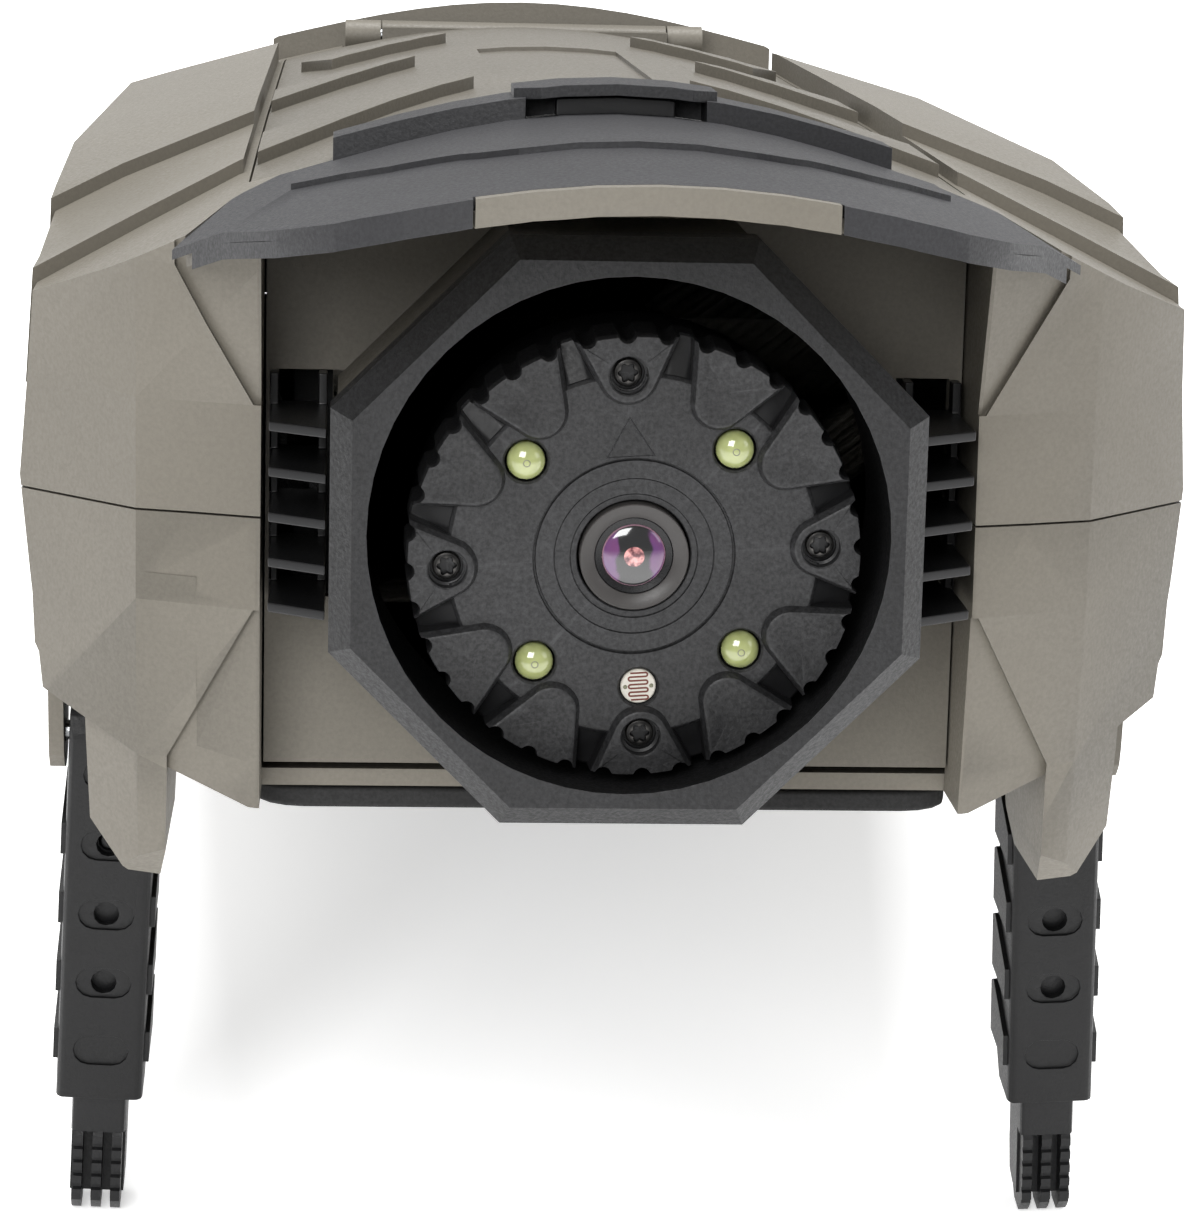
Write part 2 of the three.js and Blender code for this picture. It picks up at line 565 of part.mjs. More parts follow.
// ---------------------------------------------------------------- camera surround
function octagon(flats) {
  const apothem = flats / 2;
  const half = apothem * Math.tan(Math.PI / 8);
  return [[half, -apothem], [apothem, -half], [apothem, half], [half, apothem],
    [-half, apothem], [-apothem, half], [-apothem, -half], [-half, -apothem]];
}

const SNOUT_FLATS = 75;
const SNOUT_REAR = 58;
const PANEL_T = 2.4;
const VENT_TOP = 16.4;
const VENT_PITCH = 6;
const VENT_COUNT = 5;
const VENT_BOTTOM = 12.2 - VENT_PITCH * (VENT_COUNT - 1) - 3;
const panelPlate = caseOutside(-HOOD_THICK - GAP).intersect(box(-RECESS_HALF + GAP, RECESS_HALF - GAP,
  RECESS_BACK, RECESS_BACK + PANEL_T, BELLY_Z + 4, 60));
const ventWindow = onBothSides(box(38.2, RECESS_HALF - 2, RECESS_BACK - 2, RECESS_BACK + 6,
  VENT_BOTTOM, VENT_TOP));
const SNOUT_BORE_R = BORE_R + 1.8;
const snout = prism('Y', octagon(SNOUT_FLATS), OCT_DEPTH + GAP, SNOUT_REAR,
  [circle(SNOUT_BORE_R, 40).toReversed()]);
const gimbalHole = prism('Z', circle(2 + GAP, 12, 0, PIVOT_Y), -60, 60);
const frontPanel = panelPlate.subtract(prism('Y', circle(SNOUT_BORE_R, 40), 0, 80)).subtract(ventWindow)
  .add(snout).subtract(gimbalHole);
place(body, 'front_panel', frontPanel, TAUPE, 0.62);

function bevelledOctagon() {
  const face = octagon(OCT_FACE_FLATS);
  const full = octagon(OCT_FLATS);
  return loft([{ y: 0, points: face }, { y: OCT_BEVEL, points: full }, { y: OCT_DEPTH, points: full }]);
}
const lip = turned([[0, -1], [LIP_R, -1], [LIP_R, 0.6], [BORE_R, 3], [BORE_R, 40], [0, 40]], 56);
const TUBE_REAR = 33.5;
const bezelTube = prism('Y', circle(BORE_R + 1.5, 56), OCT_DEPTH - 1, TUBE_REAR,
  [circle(BORE_R, 56).toReversed()]);
const bezel = bevelledOctagon().subtract(lip).add(bezelTube);
place(body, 'octagon_bezel', bezel, BLACK, 0.55);

// Louvred side vents: slanted slats between a cheek and the bezel, on a frame behind the wall.
const SLAT_T = 1.3;
function ventGrille() {
  const slats = [];
  for (let i = 0; i < VENT_COUNT; i += 1) {
    const z = 12.2 - VENT_PITCH * i;
    slats.push(prism('Z', [[38.9, 9.6], [46.4, 15], [46.4, 33.9], [38.9, 33.9]], z - SLAT_T, z));
  }
  const frame = box(38.9, 40.1, 30.5, 33.9, VENT_BOTTOM, VENT_TOP)
    .add(box(45.4, 46.6, 30.5, 33.9, VENT_BOTTOM, VENT_TOP));
  return joinAll([frame, ...slats]);
}
place(body, 'vent_grille_right', ventGrille(), BLACK, 0.5);
place(body, 'vent_grille_left', mirrorX(ventGrille()), BLACK, 0.5);

// ---------------------------------------------------------------- camera head on its gimbal
const gimbal = new THREE.Group();
gimbal.position.set(0, PIVOT_Y, 0);
gimbal.rotation.z = deg(HEAD_PAN);
body.add(gimbal);
const cradle = new THREE.Group();
cradle.rotation.x = deg(HEAD_TILT);
gimbal.add(cradle);
const head = new THREE.Group();
head.rotation.y = deg(-HEAD_ROLL);
cradle.add(head);

// The pan ring turns on its upper and lower pins; the tilt cradle hangs in it on side pins.
const RING_IN = 26;
const RING_OUT = 31;
const panRing = prism('Y', circle(RING_OUT, 32), -3, 3, [circle(RING_IN, 32).toReversed()])
  .add(prism('Z', circle(2, 12), RING_OUT - 1, 36.2))
  .add(prism('Z', circle(2, 12), -36.2, -RING_OUT + 1))
  .subtract(prism('X', circle(1.5 + GAP, 12), -40, 40));
place(gimbal, 'pan_ring', panRing, BLACK, 0.5);

const CRADLE_R = 22;
const tiltCradle = prism('Y', circle(CRADLE_R, 32), -4, 6, [circle(9, 24).toReversed()])
  .add(prism('X', circle(1.5, 12), CRADLE_R - 1, 29.5))
  .add(prism('X', circle(1.5, 12), -29.5, -CRADLE_R + 1));
place(cradle, 'tilt_cradle', tiltCradle, BLACK, 0.5);

// Rear cup of the head: a hollow can with a spindle that turns in the cradle.
const CUP_FRONT = HEAD_FACE + 8;
const headCup = turned([[0, -8], [HEAD_R - 7, -8], [HEAD_R - 0.6, -20], [HEAD_R - 0.6, CUP_FRONT],
  [HEAD_R - 2.6, CUP_FRONT], [HEAD_R - 2.6, -20], [HEAD_R - 8.4, -10.4], [0, -10.4]], 36)
  .add(turned([[0, -9], [8.6, -9], [8.6, 8], [0, 8]], 24))
  .subtract(prism('Y', circle(4, 16), -12, 20));
place(head, 'head_cup', headCup, BLACK, 0.55);
const clipRing = prism('Y', circle(11, 24), 8.3, 9.8, [circle(5, 16).toReversed()]);
place(head, 'spindle_clip', clipRing, STEEL, 0.35, 1);
place(head, 'head_seal', prism('Y', circle(HEAD_R - 2.9, 36), CUP_FRONT, CUP_FRONT + 1.4,
  [circle(HEAD_R - 4.3, 36).toReversed()]), BLACK, 0.9);

// Plan of one grip pad: a wedge that narrows to a round end of radius tip at distance inner.
function padOutline(angle, inner, outer, halfOuter, tip) {
  const local = [[outer, -halfOuter], [outer, halfOuter]];
  for (let i = 0; i <= 6; i += 1) {
    const turn = Math.PI / 2 + (i / 6) * Math.PI;
    local.push([inner + tip + tip * Math.cos(turn), tip * Math.sin(turn)]);
  }
  const cos = Math.cos(angle);
  const sin = Math.sin(angle);
  return local.map(([r, t]) => [r * cos - t * sin, r * sin + t * cos]);
}
const PAD_COUNT = 12;
const pads = Array.from({ length: PAD_COUNT }, (_, i) => {
  const holdsScrew = i % 3 === 0;
  const turn = (i / PAD_COUNT) * 2 * Math.PI;
  const inner = holdsScrew ? 20 : 19.2;
  const tip = holdsScrew ? 3.4 : 3.6;
  const outline = padOutline(turn, inner, HEAD_R + 3, 7, tip);
  return prism('Y', outline, HEAD_FACE, HEAD_FACE + 4);
});
const SCALLOPS = 36;
const scallops = Array.from({ length: SCALLOPS }, (_, i) => {
  const turn = (i / SCALLOPS) * 2 * Math.PI;
  return prism('Y', circle(0.8, 6, (HEAD_R + 0.3) * Math.cos(turn), (HEAD_R + 0.3) * Math.sin(turn)),
    HEAD_FACE - 1, HEAD_FACE + 5);
});
const polar = (radius, degrees) => [radius * Math.cos(deg(degrees)), radius * Math.sin(deg(degrees))];
const ledSpots = [45, 135, 225, 315].map((angle) => polar(LED_CIRCLE_R, angle));
const screwSpots = [0, 90, 180, 270].map((angle) => polar(SCREW_CIRCLE_R, angle));
const LED_R = 2.45;
const SENSOR_R = 2.3;
const SENSOR_SPOT = [0, -17.7];
const LENS_R = 7.4;
const hole = (radius, [x, z]) => prism('Y', circle(radius, 16, x, z), HEAD_FACE - 2, HEAD_FACE + 12);
const FACE_BACK = CUP_FRONT - GAP;
const DISC_R = 23.6;             // flat middle of the face
const headFace = turned([[0, HEAD_FACE + 1.2], [DISC_R, HEAD_FACE + 1.2], [DISC_R + 0.8, HEAD_FACE + 2],
  [HEAD_R, HEAD_FACE + 3.4], [HEAD_R, FACE_BACK], [0, FACE_BACK]], 48)
  .add(joinAll(pads).intersect(turned([[0, -60], [HEAD_R, -60], [HEAD_R, 0], [0, 0]], 48)))
  .subtract(joinAll(scallops))
  .subtract(turned([[0, -60], [LENS_R + GAP, -60], [LENS_R + GAP, 0], [0, 0]], 36))
  .subtract(joinAll(ledSpots.map((spot) => hole(LED_R + GAP, spot))))
  .subtract(joinAll(screwSpots.map((spot) => hole(2.5, spot))))
  .subtract(hole(SENSOR_R + GAP, SENSOR_SPOT));
place(head, 'head_face', headFace, CHARCOAL, 0.55);

ledSpots.forEach(([x, z], i) => {
  const dome = turned([[0, HEAD_FACE + 0.4], [1.3, HEAD_FACE + 0.7], [2.1, HEAD_FACE + 1.4],
    [LED_R, HEAD_FACE + 2.4], [LED_R, FACE_BACK - 0.2], [0, FACE_BACK - 0.2]], 16, x, z);
  place(head, `led_${i + 1}`, dome, 0xb5bd86, 0.15);
});
screwSpots.forEach(([x, z], i) => {
  const screw = turned([[0, HEAD_FACE + 2.6], [1.9, HEAD_FACE + 2.6], [1.9, HEAD_FACE + 4.2],
    [1.1, HEAD_FACE + 4.2],
    [1.1, FACE_BACK + 0.1], [0, FACE_BACK + 0.1]], 12, x, z);
  place(head, `head_screw_${i + 1}`, screw, 0x1c1c1e, 0.35, 0.6);
});
const photocell = prism('Y', circle(SENSOR_R, 16, ...SENSOR_SPOT), HEAD_FACE + 1.6, HEAD_FACE + 4);
place(head, 'light_sensor', photocell, 0xb9b2a6, 0.4);
place(head, 'lens_barrel', turned([[5.4, HEAD_FACE + 0.6], [LENS_R, HEAD_FACE + 0.6],
  [LENS_R, HEAD_FACE + 18],
  [5.4, HEAD_FACE + 18], [5.4, HEAD_FACE + 0.6]], 36), 0x3a3a3b, 0.35);
place(head, 'lens_retainer', turned([[4.2, HEAD_FACE + 1.2], [5.1, HEAD_FACE + 1.2], [5.1, HEAD_FACE + 8],
  [4.2, HEAD_FACE + 8], [4.2, HEAD_FACE + 1.2]], 32), 0x151517, 0.3);
place(head, 'lens_glass', turned([[0, HEAD_FACE + 1.6], [2, HEAD_FACE + 1.8], [3.9, HEAD_FACE + 2.8],
  [3.9, HEAD_FACE + 5],
  [0, HEAD_FACE + 5]], 32), 0x4a2a55, 0.05);
place(head, 'sensor_board', prism('Y', circle(HEAD_R - 4, 32), -22, -20.4), 0x2f5a3a, 0.5);

// ---------------------------------------------------------------- telescopic legs
const DETENT_R = 1.45;
const DETENT_LEN = 3.7;
const DETENT_FRONT = -5.45;      // just behind the sleeve's front wall
const DETENT_BORE_END = 3;
const DETENT_SPRING_FRONT = -0.6;
const FIRST_HOLE = 4.3;          // pivot to the uppermost detent hole
const HOLE_COUNT = 4;
const SLOT_R = 2.4;               // oblong recess round each hole
const SLOT_REACH = 1.75;
const EDGE_R = 1.3;              // rounding of the sleeve's long edges
const DETENT_Z = -FIRST_HOLE - HOLE_PITCH;

// Leg frame: the pivot is the origin, -Z runs down the open leg and -Y is its front.
function legSleeve() {
  const side = [...circle(SLEEVE_D / 2, 20).slice(0, 11).map(([y, z]) => [y, z]),
    [-SLEEVE_D / 2, -SLEEVE_LEN], [2, -SLEEVE_LEN], [SLEEVE_D / 2, -SLEEVE_LEN + 7]];
  const rounded = roundedRectangle(SLEEVE_W / 2, -SLEEVE_D / 2, SLEEVE_D / 2, EDGE_R, 3);
  const shell = prism('X', side, -SLEEVE_W / 2, SLEEVE_W / 2)
    .intersect(prism('Z', rounded, -SLEEVE_LEN, SLEEVE_D));
  const channelHalf = SLIDE_W / 2 + GAP;
  const channelDeep = SLIDE_D / 2 + GAP;
  const channel = box(-channelHalf, channelHalf, -channelDeep, channelDeep, -SLEEVE_LEN - 1, 6.5);
  const cuts = [channel, prism('X', circle(LEG_PIN_R + 0.6, 12), -20, 20)];
  for (let i = 0; i < HOLE_COUNT; i += 1) {
    const z = -FIRST_HOLE - i * HOLE_PITCH;
    cuts.push(prism('Y', circle(1.9, 12, 0, z), -SLEEVE_D, 0));
  }
  for (let i = 0; i <= HOLE_COUNT; i += 1) {
    const z = -FIRST_HOLE - i * HOLE_PITCH;
    const right = circle(SLOT_R, 12, SLOT_REACH, z);
    const left = circle(SLOT_R, 12, -SLOT_REACH, z);
    const slot = [...right.slice(9), ...right.slice(0, 4), ...left.slice(3, 10)];
    cuts.push(prism('Y', slot, -SLEEVE_D / 2 - 1, -SLEEVE_D / 2 + 0.5));
  }
  // Shingled steps down both flanks.
  const shingles = [];
  for (let i = 0; i < HOLE_COUNT; i += 1) {
    const z = -FIRST_HOLE - 4 - i * HOLE_PITCH;
    shingles.push([[-5.8, z - 4.6], [5, z], [7, z - 1], [7, z - 9.6], [-5.8, z - 9.6]]);
  }
  const reach = SLEEVE_W / 2 + 0.7;
  const flanks = shingles.map((outline) => prism('X', outline.toReversed(), -reach, reach));
  return joinAll([shell, ...flanks]).subtract(joinAll(cuts));
}

// The slide's foot: three toothed fins in front of a web.
const FIN_SPOTS = [-2.95, 0, 2.95];
const FIN_T = 1.5;
const FIN_TOP = -64;
const TOOTH_PITCH = 2.3;
const TOOTH_COUNT = 5;
const TOOTH_DEPTH = 0.6;
const FIN_FRONT = -SLIDE_D / 2 - 0.4;
const WEB_FRONT = -2.2;
const WEB_END = -75.5;
function legSlide() {
  const rear = SLIDE_D / 2;
  const shank = prism('Z', roundedRectangle(SLIDE_W / 2, -SLIDE_D / 2, rear, 0.8, 2), FIN_TOP, -6);
  const heel = [[rear, -70], [rear - 0.8, -74.5]];
  const webSide = [[WEB_FRONT, FIN_TOP + 0.5], [WEB_FRONT, WEB_END], [1.5, WEB_END], ...heel.toReversed(),
    [rear, FIN_TOP + 0.5]];
  const web = prism('X', webSide, -SLIDE_W / 2, SLIDE_W / 2);
  const teeth = [];
  for (let i = 0; i < TOOTH_COUNT; i += 1) {
    const z = FIN_TOP - 0.6 - i * TOOTH_PITCH;
    const root = FIN_FRONT + TOOTH_DEPTH;
    teeth.push([FIN_FRONT, z], [FIN_FRONT, z - TOOTH_PITCH * 0.55]);
    teeth.push([root, z - TOOTH_PITCH * 0.65], [root, z - TOOTH_PITCH * 0.9]);
  }
  const finSide = [[-SLIDE_D / 2 + 0.5, FIN_TOP + 0.5], ...teeth, [-3.6, -77.4], [-2.4, -FOOT_REACH],
    [1.6, -FOOT_REACH], [3.2, -77], ...heel.toReversed(), [rear, FIN_TOP + 0.5]];
  const fins = FIN_SPOTS.map((x) => prism('X', finSide, x - FIN_T / 2, x + FIN_T / 2));
  const detent = prism('Y', circle(DETENT_R + GAP, 12, 0, DETENT_Z), -20, DETENT_BORE_END);
  return joinAll([shank, web, ...fins]).subtract(detent);
}

// The detent button is drawn as it is while the leg slides: pressed back until it is clear of the holes.
function detentButton() {
  return prism('Y', circle(DETENT_R, 12, 0, DETENT_Z), DETENT_FRONT, DETENT_FRONT + DETENT_LEN);
}

function detentSpring() {
  return prism('Y', circle(1, 8, 0, DETENT_Z), DETENT_SPRING_FRONT, DETENT_BORE_END - 0.2);
}

const PIN_HALF = 9.2;
for (const side of [1, -1]) {
  const name = side > 0 ? 'right' : 'left';
  const leg = new THREE.Group();
  leg.position.set(side * LEG_X, LEG_Y, LEG_Z);
  leg.rotation.set(deg(LEG_BACK), side * deg(-LEG_OUT), 0);
  body.add(leg);
  place(leg, `leg_sleeve_${name}`, legSleeve(), BLACK, 0.5);
  place(leg, `leg_slide_${name}`, legSlide(), BLACK, 0.55);
  place(leg, `leg_button_${name}`, detentButton(), BLACK, 0.4);
  place(leg, `leg_button_spring_${name}`, detentSpring(), STEEL, 0.4, 1);
  const pinRod = prism('X', circle(LEG_PIN_R, 12), -PIN_HALF, PIN_HALF);
  const pin = place(body, `leg_pin_${name}`, pinRod, STEEL, 0.4, 1);
  pin.position.copy(leg.position);
}

// ---------------------------------------------------------------- power button at the rear
const powerButton = prism('Y', circle(BUTTON_R, 20, 0, BUTTON_Z), BODY_REAR - 1.6, BODY_REAR + 1.8);
place(body, 'power_button', powerButton, BLACK, 0.6);

// ---------------------------------------------------------------- stand the case on its feet
const model = new THREE.Group();
body.rotation.x = deg(-GROUND_PITCH);
model.add(body);
model.updateMatrixWorld(true);
const bounds = new THREE.Box3().setFromObject(model, true);
body.position.set(-(bounds.min.x + bounds.max.x) / 2, -(bounds.min.y + bounds.max.y) / 2, -bounds.min.z);

export default model;
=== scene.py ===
import json
import math

import bmesh
import bpy
from mathutils import Matrix, Vector

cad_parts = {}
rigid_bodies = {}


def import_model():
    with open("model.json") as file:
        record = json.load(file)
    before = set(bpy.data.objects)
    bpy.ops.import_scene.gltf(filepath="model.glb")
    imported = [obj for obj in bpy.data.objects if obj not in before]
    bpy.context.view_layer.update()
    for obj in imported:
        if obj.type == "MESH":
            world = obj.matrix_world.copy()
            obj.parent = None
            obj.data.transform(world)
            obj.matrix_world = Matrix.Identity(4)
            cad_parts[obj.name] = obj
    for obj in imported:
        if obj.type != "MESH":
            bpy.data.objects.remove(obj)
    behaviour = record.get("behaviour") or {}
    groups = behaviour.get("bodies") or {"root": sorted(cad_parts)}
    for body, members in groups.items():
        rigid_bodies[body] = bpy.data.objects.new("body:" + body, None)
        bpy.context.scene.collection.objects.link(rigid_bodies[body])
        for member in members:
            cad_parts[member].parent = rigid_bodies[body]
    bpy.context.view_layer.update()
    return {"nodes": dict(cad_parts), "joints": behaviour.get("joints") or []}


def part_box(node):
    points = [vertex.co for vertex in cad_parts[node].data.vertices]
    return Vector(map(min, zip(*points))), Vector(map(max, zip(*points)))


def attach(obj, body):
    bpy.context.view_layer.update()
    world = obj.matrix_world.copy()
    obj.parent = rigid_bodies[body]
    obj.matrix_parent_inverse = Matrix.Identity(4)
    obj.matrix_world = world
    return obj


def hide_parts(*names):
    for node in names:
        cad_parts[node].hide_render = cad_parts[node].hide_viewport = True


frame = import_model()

# ---------------------------------------------------------------- viewpoint
# The case stands nose-up on its legs, so its own axes are turned against the ground. The pan
# joint's pin is square to the case and a known way behind the bezel: it gives the case's place.
MM = 0.001
PAN_BEHIND_BEZEL = 45 * MM
joints = {joint["name"]: joint for joint in frame["joints"]}
case_up = Vector(joints["head_pan"]["axis"])
case_right = Vector((1, 0, 0))
case_rear = case_up.cross(case_right)
case_origin = Vector(joints["head_pan"]["pos_m"]) - case_rear * PAN_BEHIND_BEZEL
case_turn = Matrix((case_right, case_rear, case_up)).transposed()
case_place = Matrix.Translation(case_origin) @ case_turn.to_4x4()

EYE = Vector((-35.9, -499.2, 91.0)) * MM
EYE_HEADING = math.radians(3.70)
EYE_DIP = math.radians(11.31)
EYE_ROLL = math.radians(1.38)
LENS_MM = 117.9

camera = bpy.data.cameras.new("viewpoint")
camera.lens = LENS_MM
camera.clip_start = 0.02
viewpoint = bpy.data.objects.new("viewpoint", camera)
bpy.context.scene.collection.objects.link(viewpoint)
look = (Matrix.Rotation(-EYE_HEADING, 4, "Z") @ Matrix.Rotation(math.pi / 2 - EYE_DIP, 4, "X")
        @ Matrix.Rotation(EYE_ROLL, 4, "Z"))
viewpoint.matrix_world = case_place @ Matrix.Translation(EYE) @ look
bpy.context.scene.camera = viewpoint

# ---------------------------------------------------------------- studio
# A sheet of white paper that glows a little, a soft box in front and to the left, a faint one at the
# right, and a large one overhead, in an even white surround.
PAPER_HALF = 6.0
PAPER_GLOW = 0.45
SURROUND_LIGHT = 0.34
LIGHTS_AIM = (0, -0.1, 0.08)


def to_linear(shade):
    """An sRGB hex colour, such as "8f8b81", as the linear colour that the shader wants."""
    channels = [int(shade[i:i + 2], 16) / 255 for i in (0, 2, 4)]
    return [c / 12.92 if c <= 0.04045 else ((c + 0.055) / 1.055) ** 2.4 for c in channels] + [1.0]


def put(tree, kind, links=None, **settings):
    """Adds one node. Settings are its properties; links are its inputs, each a value or a socket."""
    node = tree.nodes.new(kind)
    for key, value in settings.items():
        setattr(node, key, value)
    for key, value in (links or {}).items():
        if isinstance(value, bpy.types.NodeSocket):
            tree.links.new(value, node.inputs[key])
        else:
            node.inputs[key].default_value = value
    return node


def blank_material(name):
    """A new material, with its node tree and its one surface shader."""
    material = bpy.data.materials.new(name)
    material.use_nodes = True
    return material, material.node_tree, material.node_tree.nodes["Principled BSDF"]


def paper_material():
    """Matt white paper with a fine fibre, lit a little from within so that shadows stay pale."""
    material, tree, surface = blank_material("matt_paper")
    where = put(tree, "ShaderNodeTexCoord").outputs["Object"]
    fibre = put(tree, "ShaderNodeTexNoise", {"Vector": where, "Scale": 900.0, "Detail": 4.0})
    dent = put(tree, "ShaderNodeBump", {"Height": fibre.outputs["Fac"], "Strength": 0.05,
                                        "Distance": 0.0001})
    surface.inputs["Base Color"].default_value = to_linear("ffffff")
    surface.inputs["Emission Color"].default_value = (1, 1, 1, 1)
    surface.inputs["Emission Strength"].default_value = PAPER_GLOW
    surface.inputs["Roughness"].default_value = 0.9
    tree.links.new(dent.outputs["Normal"], surface.inputs["Normal"])
    return material


def mesh_object(name, mesh):
    """Links a new object that holds the mesh."""
    made = bpy.data.objects.new(name, mesh)
    bpy.context.scene.collection.objects.link(made)
    return made


paper_mesh = bpy.data.meshes.new("paper")
paper_mesh.from_pydata([(-PAPER_HALF, -PAPER_HALF, 0), (PAPER_HALF, -PAPER_HALF, 0),
                        (PAPER_HALF, PAPER_HALF, 0), (-PAPER_HALF, PAPER_HALF, 0)], [], [(0, 1, 2, 3)])
paper = mesh_object("paper", paper_mesh)
paper.data.materials.append(paper_material())


def soft_box(name, place, target, size, watts):
    """A square area light that faces target."""
    light = bpy.data.lights.new(name, "AREA")
    light.shape = "SQUARE"
    light.size = size
    light.energy = watts
    lamp = bpy.data.objects.new(name, light)
    lamp.location = place
    lamp.rotation_euler = (Vector(target) - Vector(place)).to_track_quat("-Z", "Y").to_euler()
    bpy.context.scene.collection.objects.link(lamp)


soft_box("soft_box_front", (-0.35, -1.2, 0.95), LIGHTS_AIM, 0.7, 16)
soft_box("soft_box_right", (1.1, -0.7, 0.7), LIGHTS_AIM, 0.6, 2)
soft_box("soft_box_top", (0, 0.35, 1.4), (0, 0, 0.1), 1.0, 34)

world = bpy.data.worlds.new("studio")
world.use_nodes = True
world.node_tree.nodes["Background"].inputs["Color"].default_value = (1, 1, 1, 1)
world.node_tree.nodes["Background"].inputs["Strength"].default_value = SURROUND_LIGHT
bpy.context.scene.world = world
bpy.context.scene.view_settings.view_transform = "Standard"

# ---------------------------------------------------------------- case shells
# Two injection-moulded ABS half shells, taupe, with a fine spark-eroded grain. They meet at a seam
# half-way up and are screwed together from below.
SHELL_SHADE = "5f5b53"
PLASTIC_IOR = 1.52
PLASTIC_SHEEN = 0.3
GLOSS_SPREAD = 0.08
WELD_GAP = 2e-6
FLAT_DEG = 0.6


def moulded_plastic(name, shade, grain_mm, grain_depth_mm, roughness, mottle=0.05, edge_wear_and_highlight=0.25, coat=0.0):
    """Injection-moulded plastic: the mould's grain, faint colour drift, and sharp edges made lighter, partly
    as wear and partly as a painted highlight.
    """
    material, tree, surface = blank_material(name)
    where = put(tree, "ShaderNodeTexCoord").outputs["Object"]
    grain = put(tree, "ShaderNodeTexNoise", {"Vector": where, "Scale": 1000 / grain_mm, "Detail": 3.0,
                                             "Roughness": 0.62})
    drift = put(tree, "ShaderNodeTexNoise", {"Vector": where, "Scale": 45.0, "Detail": 2.0})
    base = to_linear(shade)
    darker = [c * (1 - mottle) for c in base[:3]] + [1.0]
    lighter = [min(1.0, c * (1 + mottle)) for c in base[:3]] + [1.0]
    drifted = put(tree, "ShaderNodeMix", {"Factor": drift.outputs["Fac"], 6: darker, 7: lighter},
                  data_type="RGBA")
    peaks = put(tree, "ShaderNodeMapRange", {"Value": grain.outputs["Fac"], "From Min": 0.35,
                                             "From Max": 0.7, "To Min": -mottle, "To Max": mottle})
    # Sharp edges are made lighter: partly wear, partly a painted highlight along the edges.
    sharpness = put(tree, "ShaderNodeNewGeometry").outputs["Pointiness"]
    edge = put(tree, "ShaderNodeMapRange", {"Value": sharpness, "From Min": 0.52, "From Max": 0.62,
                                            "To Min": 0.0, "To Max": edge_wear_and_highlight})
    lift = put(tree, "ShaderNodeMath", {0: peaks.outputs["Result"], 1: edge.outputs["Result"]},
               operation="ADD")
    gain = put(tree, "ShaderNodeMath", {0: lift.outputs["Value"], 1: 1.0}, operation="ADD")
    shaded = put(tree, "ShaderNodeVectorMath", {0: drifted.outputs[2], "Scale": gain.outputs["Value"]},
                 operation="SCALE")
    tree.links.new(shaded.outputs["Vector"], surface.inputs["Base Color"])
    gloss = put(tree, "ShaderNodeMapRange", {"Value": grain.outputs["Fac"], "From Min": 0.3, "From Max": 0.7,
                                             "To Min": roughness + GLOSS_SPREAD,
                                             "To Max": roughness - GLOSS_SPREAD})
    tree.links.new(gloss.outputs["Result"], surface.inputs["Roughness"])
    dent = put(tree, "ShaderNodeBump", {"Height": grain.outputs["Fac"], "Strength": 1.0,
                                        "Distance": grain_depth_mm * MM})
    tree.links.new(dent.outputs["Normal"], surface.inputs["Normal"])
    surface.inputs["IOR"].default_value = PLASTIC_IOR
    surface.inputs["Specular IOR Level"].default_value = PLASTIC_SHEEN
    surface.inputs["Coat Weight"].default_value = coat
    return material


def bake(piece):
    """Turns a piece and its modifiers into one plain mesh."""
    bpy.context.view_layer.update()
    graph = bpy.context.evaluated_depsgraph_get()
    mesh = bpy.data.meshes.new_from_object(piece.evaluated_get(graph))
    piece.modifiers.clear()
    piece.data = mesh


def softened_copy(node, bevel_mm, material, crease_deg=28.0, segments=2, merge_flats=True):
    """Stands a copy with rounded edges in place of a CAD piece.

    Its flat faces are merged first, unless that would tear them.
    """
    source = frame["nodes"][node]
    mesh = source.data.copy()
    mesh.materials.clear()
    grid = bmesh.new()
    grid.from_mesh(mesh)
    bmesh.ops.remove_doubles(grid, verts=grid.verts, dist=WELD_GAP)
    if merge_flats:
        bmesh.ops.dissolve_limit(grid, angle_limit=math.radians(FLAT_DEG), verts=grid.verts,
                                 edges=grid.edges)
    grid.to_mesh(mesh)
    grid.free()
    piece = mesh_object(node + "_finish", mesh)
    rounding = piece.modifiers.new("rounding", "BEVEL")
    rounding.limit_method = "ANGLE"
    rounding.angle_limit = math.radians(crease_deg)
    rounding.width = bevel_mm * MM
    rounding.segments = segments
    rounding.use_clamp_overlap = True
    rounding.miter_outer = "MITER_ARC"
    return settle(piece, material, (node,), source.parent.name.removeprefix("body:"))


def settle(piece, material, nodes, body, crease_deg=32.0):
    """Finishes a piece's mesh, and rides it on its body in place of its CAD nodes."""
    bake(piece)
    if material is not None:
        piece.data.materials.clear()
        piece.data.materials.append(material)
    piece.data.shade_smooth()
    piece.data.set_sharp_from_angle(angle=math.radians(crease_deg))
    flats = piece.modifiers.new("flats", "WEIGHTED_NORMAL")
    flats.keep_sharp = True
    bake(piece)
    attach(piece, body)
    if nodes:
        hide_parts(*nodes)
    return piece


taupe_abs = moulded_plastic("abs_taupe_sparked", SHELL_SHADE, 0.6, 0.04, 0.5, mottle=0.07)
softened_copy("upper_shell", 0.45, taupe_abs)
softened_copy("lower_shell", 0.45, taupe_abs)
softened_copy("front_panel", 0.35, taupe_abs)

# ---------------------------------------------------------------- hood skin and lid band
# Charcoal thermoplastic rubber, moulded over the hood and over the lid's front lip: matt and soft.
charcoal_tpe = moulded_plastic("tpe_charcoal_matt", "262628", 0.5, 0.05, 0.55, mottle=0.22, edge_wear_and_highlight=0.25)
softened_copy("hood_skin", 0.6, charcoal_tpe, segments=3)
softened_copy("lid_band", 0.4, charcoal_tpe)

# ---------------------------------------------------------------- lid
# One moulded ABS panel that turns on a steel pin at its rear edge, with a latch button at its front.
softened_copy("lid", 0.45, taupe_abs)

